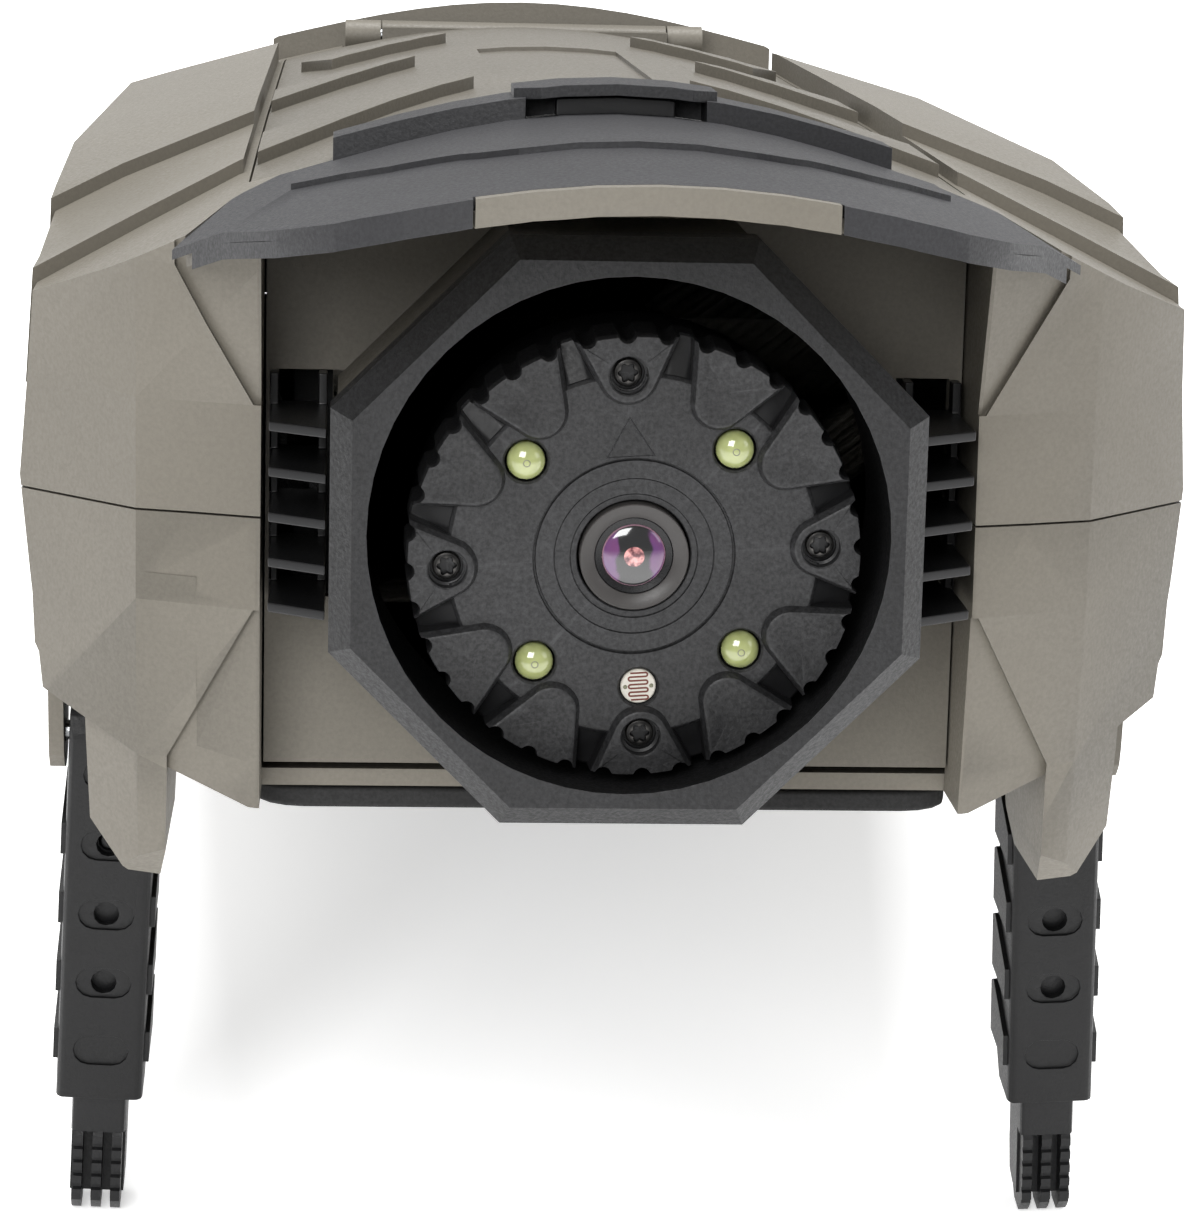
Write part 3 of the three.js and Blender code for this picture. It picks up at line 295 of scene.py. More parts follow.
# ---------------------------------------------------------------- black ABS pieces
# Bezel, vents, latch and gimbal pieces: black ABS, the same grain but finer.
black_abs = moulded_plastic("abs_black_sparked", "212122", 0.55, 0.08, 0.45, mottle=0.5, edge_wear_and_highlight=0.7)
black_smooth = moulded_plastic("abs_black_plain", "161617", 0.3, 0.006, 0.36, mottle=0.1, edge_wear_and_highlight=0.6)
for node in ("latch_button", "pan_ring", "tilt_cradle", "head_cup", "power_button"):
    softened_copy(node, 0.25, black_smooth)
softened_copy("octagon_bezel", 0.3, black_abs)
for node in ("vent_grille_left", "vent_grille_right"):
    softened_copy(node, 0.2, black_smooth)
black_nylon = moulded_plastic("nylon_black_filled", "0a0a0b", 0.45, 0.05, 0.45, mottle=0.15, edge_wear_and_highlight=0.6)
for side in ("left", "right"):
    softened_copy("leg_sleeve_" + side, 0.25, black_nylon, merge_flats=False)
    softened_copy("leg_slide_" + side, 0.3, black_nylon)
    softened_copy("leg_button_" + side, 0.3, black_nylon)

# ---------------------------------------------------------------- rubber pads and seals
# Belly pad, rear feet, lid gasket and head seal: black moulded rubber, dull and a little dusty. The
# pad and feet are glued into place; the gasket and seal sit in grooves.
RUBBER_SHADE = "1b1b1b"
black_rubber = moulded_plastic("rubber_black_moulded", RUBBER_SHADE, 0.5, 0.04, 0.72, mottle=0.2, edge_wear_and_highlight=0.5)
for node in ("base_pad", "rear_foot_right", "rear_foot_left"):
    softened_copy(node, 0.6, black_rubber, segments=3)
for node in ("lid_gasket", "head_seal"):
    softened_copy(node, 0.2, black_rubber)


# ---------------------------------------------------------------- pins, springs and spindle clip
# Drawn steel rod and stamped clip, bright zinc plated: the plating has a faint crystal pattern and
# wears to a duller grey in patches.
ZINC_BRIGHT = "a9abad"
ZINC_DULL = "7f8081"


def zinc_material():
    """Bright zinc plating on steel, with its fine spangle and duller worn patches."""
    material, tree, surface = blank_material("steel_zinc_plated")
    where = put(tree, "ShaderNodeTexCoord").outputs["Object"]
    spangle = put(tree, "ShaderNodeTexVoronoi", {"Vector": where, "Scale": 1400.0})
    wear = put(tree, "ShaderNodeTexNoise", {"Vector": where, "Scale": 260.0, "Detail": 4.0})
    shade = put(tree, "ShaderNodeMix", {"Factor": wear.outputs["Fac"], 6: to_linear(ZINC_BRIGHT),
                                        7: to_linear(ZINC_DULL)}, data_type="RGBA")
    tree.links.new(shade.outputs[2], surface.inputs["Base Color"])
    dull = put(tree, "ShaderNodeMapRange", {"Value": wear.outputs["Fac"], "From Min": 0.3, "From Max": 0.7,
                                            "To Min": 0.24, "To Max": 0.42})
    tree.links.new(dull.outputs["Result"], surface.inputs["Roughness"])
    dent = put(tree, "ShaderNodeBump", {"Height": spangle.outputs["Distance"], "Strength": 0.5,
                                        "Distance": 0.01 * MM})
    tree.links.new(dent.outputs["Normal"], surface.inputs["Normal"])
    surface.inputs["Metallic"].default_value = 1.0
    return material


zinc_steel = zinc_material()
for node in ("hinge_pin", "latch_spring", "leg_pin_right", "leg_pin_left", "leg_button_spring_right",
             "leg_button_spring_left", "spindle_clip"):
    softened_copy(node, 0.12, zinc_steel)


# ---------------------------------------------------------------- circuit boards
# Two glass-epoxy boards under a solder mask painted near black, a painted shade for the gap round the
# head. The weave shows faintly through the mask.
WEAVE_SCALE = 620.0
# Painted shade: both mask colours are near black so that the boards seen through the gap read as shade.
MASK_LOW = "0d1210"
MASK_HIGH = "18201c"


def board_material():
    """Solder mask painted near black as shade, over a glass weave: two crossed wave patterns tint and lift
    the mask.
    """
    material, tree, surface = blank_material("solder_mask_black")
    where = put(tree, "ShaderNodeTexCoord").outputs["Object"]
    warp = put(tree, "ShaderNodeTexWave", {"Vector": where, "Scale": WEAVE_SCALE}, bands_direction="X")
    weft = put(tree, "ShaderNodeTexWave", {"Vector": where, "Scale": WEAVE_SCALE}, bands_direction="Y")
    weave = put(tree, "ShaderNodeMath", {0: warp.outputs["Fac"], 1: weft.outputs["Fac"]},
                operation="MULTIPLY")
    shade = put(tree, "ShaderNodeMix", {"Factor": weave.outputs["Value"], 6: to_linear(MASK_LOW),
                                        7: to_linear(MASK_HIGH)}, data_type="RGBA")
    tree.links.new(shade.outputs[2], surface.inputs["Base Color"])
    dent = put(tree, "ShaderNodeBump", {"Height": weave.outputs["Value"], "Strength": 0.4,
                                        "Distance": 0.01 * MM})
    tree.links.new(dent.outputs["Normal"], surface.inputs["Normal"])
    surface.inputs["Roughness"].default_value = 0.35
    return material


solder_mask = board_material()
for node in ("sensor_board", "main_board"):
    softened_copy(node, 0.1, solder_mask)

# ---------------------------------------------------------------- battery and its tray
# A lithium pack in dark shrink film, which lies in a plain black ABS tray under the lid's bay.
BATTERY_SHADE = "23282c"
shrink_film = moulded_plastic("shrink_film_dark", BATTERY_SHADE, 3.0, 0.08, 0.28, mottle=0.08, edge_wear_and_highlight=0.2,
                              coat=0.4)
softened_copy("battery_pack", 0.8, shrink_film, segments=3)
softened_copy("compartment_tray", 0.3, black_smooth)

# ---------------------------------------------------------------- head face
# The front of the camera head: one black ABS moulding. Twelve raised grips stand round a grained disc,
# with plain valleys between them and a fluted rim, so that fingers can turn the head to aim it.
led_spots = [sum(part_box("led_%d" % number), Vector()) / 2 for number in (1, 2, 3, 4)]
head_x = (led_spots[0] - led_spots[1]).normalized()
head_z = (led_spots[0] - led_spots[3]).normalized()
head_y = head_z.cross(head_x)
head_pivot = Vector(joints["head_pan"]["pos_m"])
head_place = (Matrix.Translation(head_pivot) @ Matrix((head_x, head_y, head_z)).transposed().to_4x4()
              @ Matrix.Scale(MM, 4))

PAD_FRONT = -40.0
DISC_FRONT = -38.8
DISC_R = 23.6
RIM_R = 29.6
FLUTES = 36
FLUTE_R = 1.15
FLUTE_CENTRE_R = 29.9
BARREL_R = 7.1
GROOVES = ((8.3, 0.16), (10.4, 0.16), (13.0, 0.42))
LED_R = 2.5
LED_HOLE_R = 2.78
LED_CIRCLE_R = (led_spots[0] - led_spots[2]).length / 2 / MM
SCREW_CIRCLE_R = 24.3
SENSOR_HOLE_R = 2.5
SENSOR_DROP = -17.7
HOLE_FRONT = -41
HOLE_BACK = -34
MOUTH = 0.3
COUNTERBORE_R = 2.3
COUNTERBORE_FLOOR = -37.3
TURN = 2 * math.pi


def on_circle(radius, angle):
    """The two face coordinates of a point at a radius and an angle."""
    return radius * math.cos(angle), radius * math.sin(angle)


def rim_radius(angle):
    """Radius of the fluted rim at an angle."""
    step = TURN / FLUTES
    off = (angle + step / 2) % step - step / 2
    across = FLUTE_CENTRE_R * math.sin(off)
    if abs(across) >= FLUTE_R:
        return RIM_R
    return min(RIM_R, FLUTE_CENTRE_R * math.cos(off) - math.sqrt(FLUTE_R ** 2 - across ** 2))


def skin(rings, first_cap=False, last_cap=False, looped=False):
    """A mesh of quads between rings of equal length, each a list of points in the head's millimetres."""
    mesh = bpy.data.meshes.new("skin")
    count = len(rings[0])
    points = [point for ring in rings for point in ring]
    faces = []
    for ring in range(len(rings) if looped else len(rings) - 1):
        a = ring * count
        b = (ring + 1) % len(rings) * count
        for i in range(count):
            j = (i + 1) % count
            faces.append((a + i, a + j, b + j, b + i))
    if first_cap:
        faces.append(tuple(reversed(range(count))))
    if last_cap:
        faces.append(tuple(range(len(points) - count, len(points))))
    mesh.from_pydata(points, [], faces)
    mesh.transform(head_place)
    return outward(mesh)


def outward(mesh):
    """Turns every face of a closed mesh outwards."""
    grid = bmesh.new()
    grid.from_mesh(mesh)
    bmesh.ops.recalc_face_normals(grid, faces=grid.faces)
    grid.to_mesh(mesh)
    grid.free()
    return mesh


def turned_rings(profile, steps=96, at=(0.0, 0.0)):
    """Rings of a turned piece, from (radius, depth) points, round an axis at the place at."""
    return [[(at[0] + r * math.cos(i / steps * TURN), y, at[1] + r * math.sin(i / steps * TURN))
             for i in range(steps)]
            for r, y in profile]


def joined(name, meshes):
    """One object that holds several meshes."""
    grid = bmesh.new()
    for mesh in meshes:
        grid.from_mesh(mesh)
    whole = bpy.data.meshes.new(name)
    grid.to_mesh(whole)
    grid.free()
    return mesh_object(name, whole)


def cut(piece, tool):
    """Takes the tool's shape out of a piece."""
    cutter = piece.modifiers.new("cut", "BOOLEAN")
    cutter.operation = "DIFFERENCE"
    cutter.solver = "EXACT"
    cutter.object = tool
    bake(piece)
    bpy.data.objects.remove(tool)


def disc_profile():
    """Half section of the face from its bore to the rim: terraces between fine grooves, then a valley."""
    profile = [(BARREL_R + 0.3, -32.0), (BARREL_R + 0.3, -38.0), (BARREL_R + 0.45, -38.2)]
    level = -38.25
    for radius, width in GROOVES:
        profile += [(radius - width / 2, level), (radius - width / 4, level + width * 0.9),
                    (radius + width / 4, level + width * 0.9), (radius + width / 2, level - 0.17)]
        level -= 0.18
    profile += [(DISC_R, DISC_FRONT), (DISC_R + 0.3, DISC_FRONT + 0.06), (DISC_R + 0.6, DISC_FRONT + 0.3),
                (DISC_R + 0.8, DISC_FRONT + 0.6)]
    return profile


FACE_STEPS = 720
face_rings = turned_rings(disc_profile(), FACE_STEPS)
for inset, depth in ((2.6, -36.9), (0.3, -36.2), (0.0, -35.9), (0.0, -31.9)):
    ring = []
    for i in range(FACE_STEPS):
        angle = i / FACE_STEPS * TURN
        x, z = on_circle(rim_radius(angle) - inset, angle)
        ring.append((x, depth, z))
    face_rings.append(ring)
face = mesh_object("head_face_moulding", skin(face_rings, looped=True))


def flared_hole(radius, flare_depth, spot):
    """A round cutter with a flared mouth."""
    profile = [(radius + MOUTH, HOLE_FRONT), (radius + MOUTH, DISC_FRONT), (radius, DISC_FRONT + flare_depth),
               (radius, HOLE_BACK)]
    return skin(turned_rings(profile, 48, spot), True, True)


hole_tools = []
for quarter in range(4):
    spot = on_circle(LED_CIRCLE_R, (quarter + 0.5) * TURN / 4)
    hole_tools.append(flared_hole(LED_HOLE_R, 0.3, spot))
hole_tools.append(flared_hole(SENSOR_HOLE_R, 0.4, (0, SENSOR_DROP)))
for quarter in range(4):
    spot = on_circle(SCREW_CIRCLE_R, quarter * TURN / 4)
    counterbore = [(COUNTERBORE_R, HOLE_FRONT), (COUNTERBORE_R, COUNTERBORE_FLOOR)]
    hole_tools.append(skin(turned_rings(counterbore, 48, spot), True, True))
cut(face, joined("hole_tools", hole_tools))

PADS = 12
PAD_HALF = math.radians(13.2)
RIM_SHARE = 0.3
PAD_TIP = {True: (SCREW_CIRCLE_R, 4.1), False: (23.1, 3.8)}
# Steps inwards and forwards from a grip's foot to its top: a steep wall and a rounded edge.
PAD_EDGE = ((-0.2, -35.6), (0.0, -38.6), (0.07, -38.85), (0.5, -39.7), (0.62, -39.88), (0.8, -39.97),
            (1.0, PAD_FRONT))
RIM_STEPS = 60
SIDE_STEPS = 9
TIP_STEPS = 24
DISH_R = 24.6


def pad_outline(angle, tip_r, tip_size, by):
    """Plan of a grip, inset by a distance: a wedge with a fluted outer end and a round inner tip."""
    corner = Vector((RIM_R * math.cos(PAD_HALF), RIM_R * math.sin(PAD_HALF)))
    reach = corner - Vector((tip_r, 0))
    lean = math.atan2(reach.y, reach.x) + math.acos(tip_size / reach.length)
    outwards = Vector((math.cos(lean), math.sin(lean)))
    tangent = Vector((tip_r, 0)) + outwards * (tip_size - by)
    along = (corner - Vector((tip_r, 0)) - outwards * tip_size).normalized()
    rim_inset = max(by, 0) * RIM_SHARE
    half_way = along.dot(tangent)
    length = math.sqrt(half_way ** 2 - tangent.length_squared + (RIM_R - rim_inset) ** 2) - half_way
    corner = tangent + along * length
    half = math.atan2(corner.y, corner.x)
    plan = []
    for i in range(RIM_STEPS + 1):
        a = -half + 2 * half * i / RIM_STEPS
        radius = rim_radius(angle + a) - rim_inset
        plan.append(Vector((radius * math.cos(a), radius * math.sin(a))))
    side = [corner.lerp(tangent, i / SIDE_STEPS) for i in range(1, SIDE_STEPS)]
    plan += side
    for i in range(TIP_STEPS + 1):
        a = lean + (TURN - 2 * lean) * i / TIP_STEPS
        plan.append(Vector((tip_r, 0)) + (tip_size - by) * Vector((math.cos(a), math.sin(a))))
    plan += [Vector((point.x, -point.y)) for point in reversed(side)]
    c, s = math.cos(angle), math.sin(angle)
    return [Vector((p.x * c - p.y * s, p.x * s + p.y * c)) for p in plan]


pads = []
for number in range(PADS):
    angle = number * TURN / PADS
    has_screw = number % 3 == 0
    rings = [[(p.x, depth, p.y) for p in pad_outline(angle, *PAD_TIP[has_screw], by)]
             for by, depth in PAD_EDGE]
    top = pad_outline(angle, *PAD_TIP[has_screw], PAD_EDGE[-1][0])
    if has_screw:
        centre = Vector(on_circle(SCREW_CIRCLE_R, angle))
        away = [(p - centre).normalized() for p in top]
        for radius, depth in ((2.7, -40.0), (2.52, -39.85), (2.5, -38.5), (2.15, -38.3), (2.1, -37.5)):
            rings.append([(centre.x + radius * d.x, depth, centre.y + radius * d.y) for d in away])
    else:
        centre = Vector(on_circle(DISH_R, angle))
        for keep, depth in ((0.8, -39.93), (0.55, -39.8), (0.3, -39.72), (0.1, -39.7)):
            rings.append([(q.x, depth, q.y) for q in (centre.lerp(p, keep) for p in top)])
    pads.append(skin(rings, True, True))

MARK = ((-3.2, 13.3), (3.2, 13.3), (0.0, 18.7))
MARK_CENTRE = Vector((0.0, 15.1))
MARK_EDGE = ((1.0, -38.7), (1.0, -38.83), (0.955, -38.93), (0.93, -38.93), (0.9, -38.84), (0.5, -38.84))
mark = []
for size, depth in MARK_EDGE:
    mark.append([(p.x, depth, p.y) for p in (MARK_CENTRE.lerp(Vector(corner), size) for corner in MARK)])
whole_face = joined("head_face_finish", [face.data] + pads + [skin(mark, True, True)])
bpy.data.objects.remove(face)


def in_head(tree):
    """Shader vector in the head's own millimetres: x to its right, y along its axis, z up."""
    back = head_place.inverted()
    where = put(tree, "ShaderNodeTexCoord").outputs["Object"]
    rows = []
    for row in range(3):
        dot = put(tree, "ShaderNodeVectorMath", {0: where, 1: back[row][:3]}, operation="DOT_PRODUCT")
        rows.append(put(tree, "ShaderNodeMath", {0: dot.outputs["Value"], 1: back[row][3]},
                        operation="ADD").outputs["Value"])
    return rows


def face_material():
    """Black ABS whose disc and grips are grained and whose valleys are plain and darker: partly their smooth
    finish, partly a painted reflection of the dark bore.
    """
    material = moulded_plastic("abs_black_face", "272728", 0.55, 0.08, 0.46, mottle=0.5, edge_wear_and_highlight=0.6)
    tree = material.node_tree
    surface = tree.nodes["Principled BSDF"]
    x, y, z = in_head(tree)
    flat = put(tree, "ShaderNodeCombineXYZ", {"X": x, "Y": z})
    radius = put(tree, "ShaderNodeVectorMath", {0: flat.outputs["Vector"]}, operation="LENGTH")
    outside = put(tree, "ShaderNodeMath", {0: radius.outputs["Value"], 1: DISC_R + 0.7},
                  operation="GREATER_THAN")
    behind = put(tree, "ShaderNodeMath", {0: y, 1: -38.9}, operation="GREATER_THAN")
    plain = put(tree, "ShaderNodeMath", {0: outside.outputs["Value"], 1: behind.outputs["Value"]},
                operation="MULTIPLY").outputs["Value"]
    grained = surface.inputs["Base Color"].links[0].from_socket
    # Painted reflection: the valleys take a darker colour, partly for their smooth finish, partly for the
    # dark bore they reflect.
    shade = put(tree, "ShaderNodeMix", {"Factor": plain, 6: grained, 7: to_linear("161617")},
                data_type="RGBA")
    tree.links.new(shade.outputs[2], surface.inputs["Base Color"])
    bump = surface.inputs["Normal"].links[0].from_node
    strength = put(tree, "ShaderNodeMapRange", {"Value": plain, "To Min": 1.0, "To Max": 0.08})
    tree.links.new(strength.outputs["Result"], bump.inputs["Strength"])
    return material


settle(whole_face, face_material(), ("head_face",), "head", crease_deg=24)

# ---------------------------------------------------------------- lens
# A screw-in lens: an anodised barrel with a shallow funnel front, a black retaining ring and a coated
# glass front element, which shows the small iris behind it.
GLASS_R = 4.15
IRIS_R = 1.28
barrel = joined("lens_barrel_finish", [skin(turned_rings([
    (BARREL_R, -30.0), (BARREL_R, -38.9), (BARREL_R - 0.12, -39.05), (BARREL_R - 0.3, -39.05),
    (5.25, -38.45), (5.15, -38.35), (5.15, -30.0)], 160), looped=True)])
settle(barrel, moulded_plastic("anodised_grey_barrel", "3c3a39", 0.25, 0.008, 0.38, mottle=0.04, edge_wear_and_highlight=0.3),
       ("lens_barrel",), "head")
retainer = joined("lens_retainer_finish", [skin(turned_rings([
    (5.15, -30.0), (5.15, -38.15), (5.0, -38.25), (4.4, -38.1), (GLASS_R + 0.04, -38.05), (GLASS_R, -37.95),
    (GLASS_R, -30.0)], 160), looped=True)])
settle(retainer, moulded_plastic("black_retaining_ring", "131314", 0.2, 0.004, 0.3, mottle=0.05, edge_wear_and_highlight=0.8),
       ("lens_retainer",), "head")


def coated_glass_material():
    """Dark coated glass with painted reflections: purple patches towards its sides, pink painted glints in
    the iris and a paler painted rim.
    """
    material, tree, surface = blank_material("coated_lens_glass")
    x, _, z = in_head(tree)
    flat = put(tree, "ShaderNodeCombineXYZ", {"X": x, "Y": z}).outputs["Vector"]
    radius = put(tree, "ShaderNodeVectorMath", {0: flat}, operation="LENGTH").outputs["Value"]
    wisps = put(tree, "ShaderNodeTexNoise", {"Vector": flat, "Scale": 0.35, "Detail": 1.0}).outputs["Fac"]
    aside = put(tree, "ShaderNodeMath", {0: x}, operation="ABSOLUTE").outputs["Value"]
    waved = put(tree, "ShaderNodeMath", {0: wisps, 1: 2.4, 2: aside},
                operation="MULTIPLY_ADD").outputs["Value"]
    # Painted reflection: the coated glass shows purple patches towards its left and right sides.
    reflection_patch = put(tree, "ShaderNodeMapRange", {"Value": waved, "From Min": 3.1, "From Max": 3.7},
                interpolation_type="SMOOTHSTEP").outputs["Result"]
    tint = put(tree, "ShaderNodeMix", {"Factor": wisps, 6: to_linear("4a2d66"), 7: to_linear("66345a")},
               data_type="RGBA").outputs[2]
    glass_with_reflections = put(tree, "ShaderNodeMix", {"Factor": reflection_patch, 6: to_linear("161617"), 7: tint},
                  data_type="RGBA").outputs[2]
    iris = put(tree, "ShaderNodeMapRange", {"Value": radius, "From Min": IRIS_R,
                                            "From Max": IRIS_R + 0.08}).outputs["Result"]
    # Painted glints: pink spots in the dark iris.
    glints = put(tree, "ShaderNodeTexNoise", {"Vector": flat, "Scale": 0.9, "Detail": 2.0}).outputs["Fac"]
    glint_spots = put(tree, "ShaderNodeMapRange", {"Value": glints, "From Min": 0.42,
                                             "From Max": 0.62}).outputs["Result"]
    iris_with_glints = put(tree, "ShaderNodeMix", {"Factor": glint_spots, 6: to_linear("57272f"), 7: to_linear("dc9a97")},
                data_type="RGBA").outputs[2]
    shade = put(tree, "ShaderNodeMix", {"Factor": iris, 6: iris_with_glints, 7: glass_with_reflections}, data_type="RGBA").outputs[2]
    # Painted highlight: a paler ring round the glass's rim.
    edge = put(tree, "ShaderNodeMapRange", {"Value": radius, "From Min": GLASS_R - 0.2,
                                            "From Max": GLASS_R - 0.1}).outputs["Result"]
    with_rim_highlight = put(tree, "ShaderNodeMix", {"Factor": edge, 6: shade, 7: to_linear("8f6f7c")},
                 data_type="RGBA").outputs[2]
    tree.links.new(with_rim_highlight, surface.inputs["Base Color"])
    surface.inputs["Roughness"].default_value = 0.12
    surface.inputs["IOR"].default_value = 1.6
    surface.inputs["Coat Weight"].default_value = 1.0
    surface.inputs["Coat Roughness"].default_value = 0.02
    return material


dome = [(GLASS_R * math.sin(math.radians(a)), -38.9 + 1.0 - math.cos(math.radians(a)) * 1.0)
        for a in range(4, 91, 5)]
glass = joined("lens_glass_finish", [skin(turned_rings(dome + [(GLASS_R, -31.0)], 128), True, True)])
settle(glass, coated_glass_material(), ("lens_glass",), "head")

# ---------------------------------------------------------------- LEDs
# Four 5 mm through-hole LEDs in clear epoxy over a yellow-green chip cup, pressed in from behind. A ring
# of bright metal on the front of each dome paints the glint of its chip cup.
def epoxy_material():
    """Clear epoxy that shows the yellow-green cup: paler at the dome's front and darker towards its sides, a
    painted shade, and faintly hazy.
    """
    material, tree, surface = blank_material("led_clear_epoxy")
    _, y, _ = in_head(tree)
    where = put(tree, "ShaderNodeTexCoord").outputs["Object"]
    haze = put(tree, "ShaderNodeTexNoise", {"Vector": where, "Scale": 700.0, "Detail": 2.0}).outputs["Fac"]
    # Painted shade: the colour darkens from the dome's front towards its sides.
    depth = put(tree, "ShaderNodeMapRange", {"Value": y, "From Min": -40.1,
                                             "From Max": -38.6}).outputs["Result"]
    shade = put(tree, "ShaderNodeMix", {"Factor": depth, 6: to_linear("949b62"), 7: to_linear("666d3e")},
                data_type="RGBA").outputs[2]
    mottled = put(tree, "ShaderNodeMix", {"Factor": haze, 6: shade, 7: to_linear("a5ab78")},
                  data_type="RGBA").outputs[2]
    tree.links.new(mottled, surface.inputs["Base Color"])
    surface.inputs["Subsurface Weight"].default_value = 0.4
    surface.inputs["Subsurface Radius"].default_value = (0.001, 0.001, 0.0006)
    surface.inputs["Subsurface Scale"].default_value = 0.6
    surface.inputs["Roughness"].default_value = 0.08
    surface.inputs["Coat Weight"].default_value = 1.0
    surface.inputs["Coat Roughness"].default_value = 0.015
    return material


epoxy = epoxy_material()
# Silver for the LEDs' painted glints, and for the photocell's real lead ends.
glint_and_lead_metal = moulded_plastic("chip_silver", "6f6f5c", 0.2, 0.004, 0.3, mottle=0.1, edge_wear_and_highlight=0.2)
led_dome = [(LED_R * math.sin(math.radians(a)), -38.2 - 1.75 * math.cos(math.radians(a)))
            for a in range(3, 91, 5)]
for number in (1, 2, 3, 4):
    spot = on_circle(LED_CIRCLE_R, (number - 0.5) * TURN / 4)
    bead_rings = turned_rings(led_dome + [(LED_R, -33.0)], 64, spot)
    bead = joined("led_%d_epoxy" % number, [skin(bead_rings, True, True)])
    settle(bead, epoxy, ("led_%d" % number,), "head")
    # Painted glint: a bright ring on the front of the dome.
    ring = joined("led_%d_chip" % number, [skin(turned_rings([
        (0.3, -39.9), (0.42, -39.97), (0.5, -39.93), (0.42, -39.85)], 32, spot), looped=True)])
    settle(ring, glint_and_lead_metal, (), "head")

# ---------------------------------------------------------------- light sensor
# A photocell: a pale ceramic disc with a dark red serpentine of cadmium sulphide between two silvered
# areas, two lead ends, all under clear lacquer.
SENSOR_R = 2.32
SENSOR_FRONT = -38.55
TRACK_HALF = 0.12
TRACK_ROWS = 8
TRACK_REACH = 1.0
TRACK_SHARE = 0.9
ceramic = moulded_plastic("photocell_ceramic", "b4b0a6", 0.3, 0.004, 0.25, mottle=0.06, edge_wear_and_highlight=0.0, coat=0.8)
cell = joined("light_sensor_finish", [skin(turned_rings([
    (0.02, SENSOR_FRONT), (SENSOR_R - 0.15, SENSOR_FRONT), (SENSOR_R, SENSOR_FRONT + 0.15),
    (SENSOR_R, -35.0)],
    64, (0, SENSOR_DROP)), True, True)])
settle(cell, ceramic, ("light_sensor",), "head")


def serpentine():
    """Centre line of the track: strokes that run right and left, joined by half-round bends."""
    line = []
    pitch = 2 * SENSOR_R * TRACK_SHARE / TRACK_ROWS
    for row in range(TRACK_ROWS):
        side = 1 if row % 2 == 0 else -1
        level = SENSOR_DROP + SENSOR_R * TRACK_SHARE - pitch * (row + 0.5)
        line.append(Vector((-side * TRACK_REACH, level)))
        line.append(Vector((side * TRACK_REACH, level)))
        if row < TRACK_ROWS - 1:
            for a in (-60, -30, 0, 30, 60):
                turn = math.radians(a)
                line.append(Vector((side * (TRACK_REACH + pitch / 2 * math.cos(turn)),
                                    level - pitch / 2 - pitch / 2 * math.sin(turn))))
    return line


def ribbon(line, half, back, front):
    """A flat bar of rectangular section that follows a line in the head's x-z plane."""
    rings = []
    for i, point in enumerate(line):
        ahead = line[min(i + 1, len(line) - 1)] - line[max(i - 1, 0)]
        side = Vector((-ahead.y, ahead.x)).normalized() * half
        left = point + side
        right = point - side
        rings.append([(left.x, back, left.y), (left.x, front, left.y),
                      (right.x, front, right.y), (right.x, back, right.y)])
    return skin(rings, True, True)


track_bar = ribbon(serpentine(), TRACK_HALF, SENSOR_FRONT + 0.02, SENSOR_FRONT - 0.02)
track = joined("light_sensor_track", [track_bar])
settle(track, moulded_plastic("cadmium_sulphide", "5c2a22", 0.2, 0.002, 0.4, mottle=0.1, edge_wear_and_highlight=0.0),
       (), "head")
LEAD_SPREAD = 1.72
lead_profile = [(0.02, SENSOR_FRONT - 0.16), (0.16, SENSOR_FRONT - 0.15), (0.27, SENSOR_FRONT - 0.05),
                (0.3, SENSOR_FRONT + 0.1)]
leads = [skin(turned_rings(lead_profile, 24, (side * LEAD_SPREAD, SENSOR_DROP)), True, True)
         for side in (-1, 1)]
settle(joined("light_sensor_leads", leads), glint_and_lead_metal, (), "head")

# ---------------------------------------------------------------- head screws
# Four small black-oxide screws with a six-lobed socket, deep in the counterbores of four grips.
# Geometry Nodes puts one screw mesh at the four places.
SCREW_R = 1.85
LOBES = 6
LOBE_DEPTH = 0.17
SOCKET_STEPS = 96


def black_oxide_material():
    """Blackened steel, made bright on its sharp edges: partly rubbed bare, partly a painted glint."""
    material, tree, surface = blank_material("steel_black_oxide")
    where = put(tree, "ShaderNodeTexCoord").outputs["Object"]
    scratch = put(tree, "ShaderNodeTexNoise", {"Vector": where, "Scale": 2600.0,
                                               "Detail": 3.0}).outputs["Fac"]
    # Painted glint: sharp edges, such as the socket's lobes, take a bright metal colour, partly also for real
    # wear.
    sharpness = put(tree, "ShaderNodeNewGeometry").outputs["Pointiness"]
    worn_and_glinting_edge = put(tree, "ShaderNodeMapRange", {"Value": sharpness, "From Min": 0.53,
                                            "From Max": 0.62}).outputs["Result"]
    shade = put(tree, "ShaderNodeMix", {"Factor": worn_and_glinting_edge, 6: to_linear("1a1a1b"), 7: to_linear("8d8a86")},
                data_type="RGBA").outputs[2]
    tree.links.new(shade, surface.inputs["Base Color"])
    gloss = put(tree, "ShaderNodeMapRange", {"Value": scratch, "To Min": 0.25,
                                             "To Max": 0.45}).outputs["Result"]
    tree.links.new(gloss, surface.inputs["Roughness"])
    surface.inputs["Metallic"].default_value = 0.9
    return material


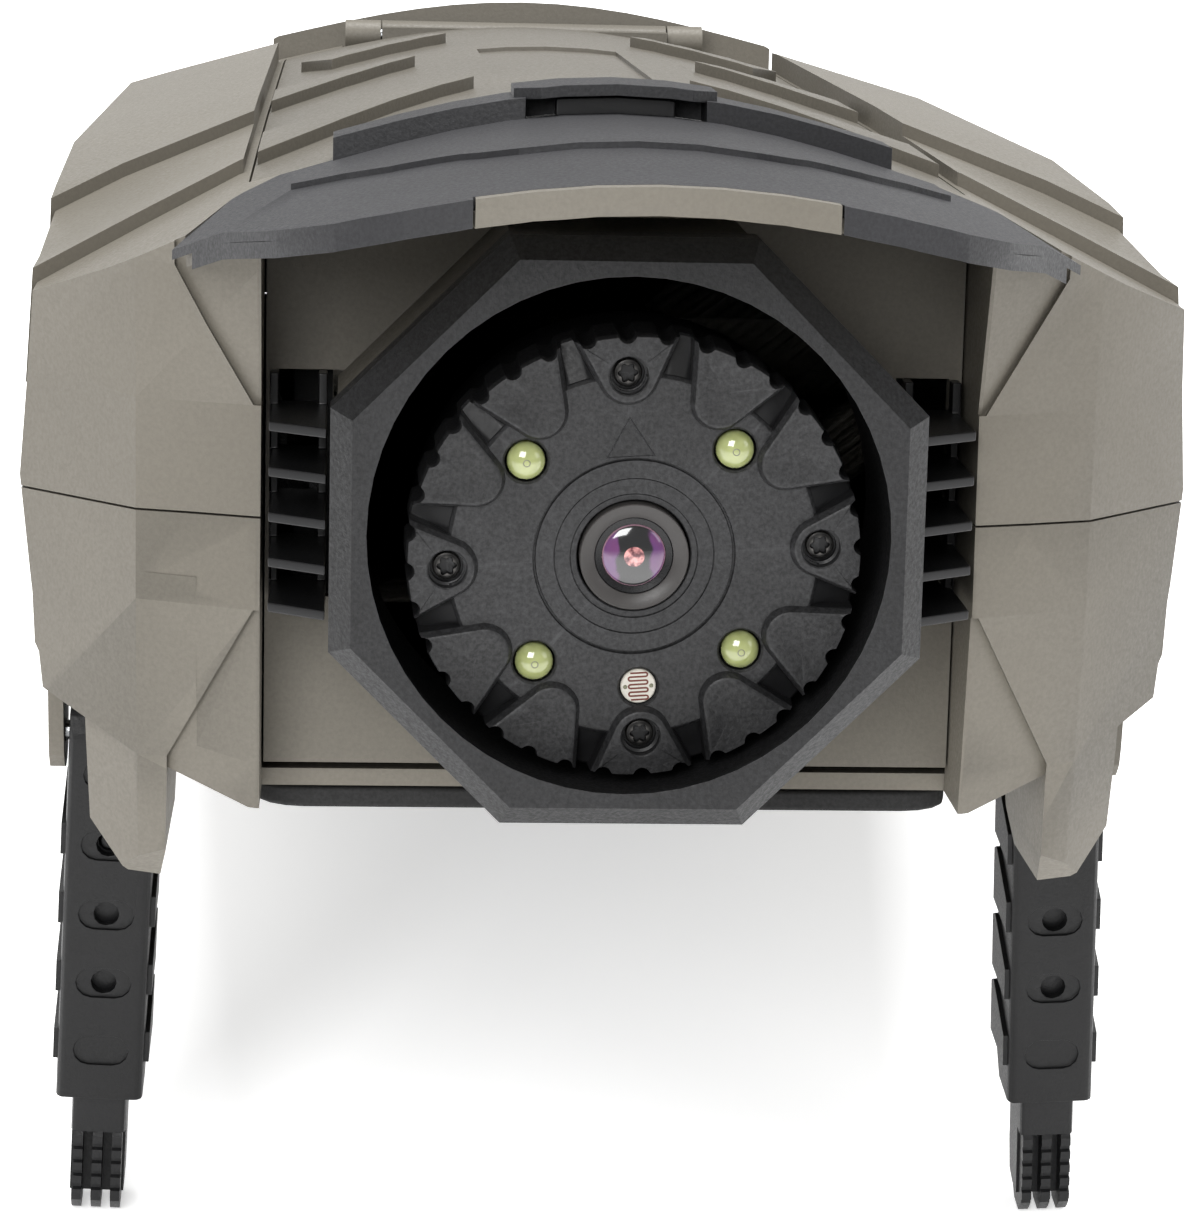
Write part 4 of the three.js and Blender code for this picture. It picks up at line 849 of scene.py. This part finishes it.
def screw_mesh():
    """One screw head on the head's axis, in the head's millimetres."""
    def lobed_ring(radius, depth, lobe=LOBE_DEPTH):
        ring = []
        for i in range(SOCKET_STEPS):
            angle = i / SOCKET_STEPS * TURN
            x, z = on_circle(radius + lobe * math.cos(LOBES * i / SOCKET_STEPS * TURN), angle)
            ring.append((x, depth, z))
        return ring

    def round_ring(radius, depth):
        return lobed_ring(radius, depth, lobe=0.0)

    return skin([round_ring(SCREW_R, -36.5), round_ring(SCREW_R, -37.9), round_ring(SCREW_R - 0.15, -38.1),
                 round_ring(SCREW_R - 0.4, -38.18), lobed_ring(1.18, -38.2), lobed_ring(1.1, -38.12),
                 lobed_ring(1.06, -37.3), round_ring(0.25, -37.1)], True, True)


def repeated(name, source, spots, material):
    """One plain mesh with a copy of source moved to each spot, made by a Geometry Nodes tree."""
    tree = bpy.data.node_groups.new(name + "_array", "GeometryNodeTree")
    tree.interface.new_socket("Spots", in_out="INPUT", socket_type="NodeSocketGeometry")
    piece_socket = tree.interface.new_socket("Piece", in_out="INPUT", socket_type="NodeSocketObject")
    finish_socket = tree.interface.new_socket("Finish", in_out="INPUT", socket_type="NodeSocketMaterial")
    tree.interface.new_socket("Array", in_out="OUTPUT", socket_type="NodeSocketGeometry")
    inlet = put(tree, "NodeGroupInput")
    info = put(tree, "GeometryNodeObjectInfo", {"Object": inlet.outputs["Piece"]})
    copies = put(tree, "GeometryNodeInstanceOnPoints", {"Points": inlet.outputs["Spots"],
                                                        "Instance": info.outputs["Geometry"]})
    real = put(tree, "GeometryNodeRealizeInstances", {"Geometry": copies.outputs["Instances"]})
    finish = put(tree, "GeometryNodeSetMaterial", {"Geometry": real.outputs["Geometry"],
                                                   "Material": inlet.outputs["Finish"]})
    put(tree, "NodeGroupOutput", {"Array": finish.outputs["Geometry"]})
    dots = bpy.data.meshes.new(name)
    dots.from_pydata(spots, [], [])
    array = mesh_object(name, dots)
    pattern = mesh_object(name + "_pattern", source)
    maker = array.modifiers.new("array", "NODES")
    maker.node_group = tree
    maker[piece_socket.identifier] = pattern
    maker[finish_socket.identifier] = material
    bake(array)
    bpy.data.objects.remove(pattern)
    return array


black_oxide = black_oxide_material()
screw_turn = head_place.to_3x3()
screw_spots = []
for quarter in range(4):
    x, z = on_circle(SCREW_CIRCLE_R, quarter * TURN / 4)
    screw_spots.append(screw_turn @ Vector((x, 0, z)))
screws = repeated("head_screws_finish", screw_mesh(), screw_spots, black_oxide)
settle(screws, None, ("head_screw_1", "head_screw_2", "head_screw_3", "head_screw_4"), "head")
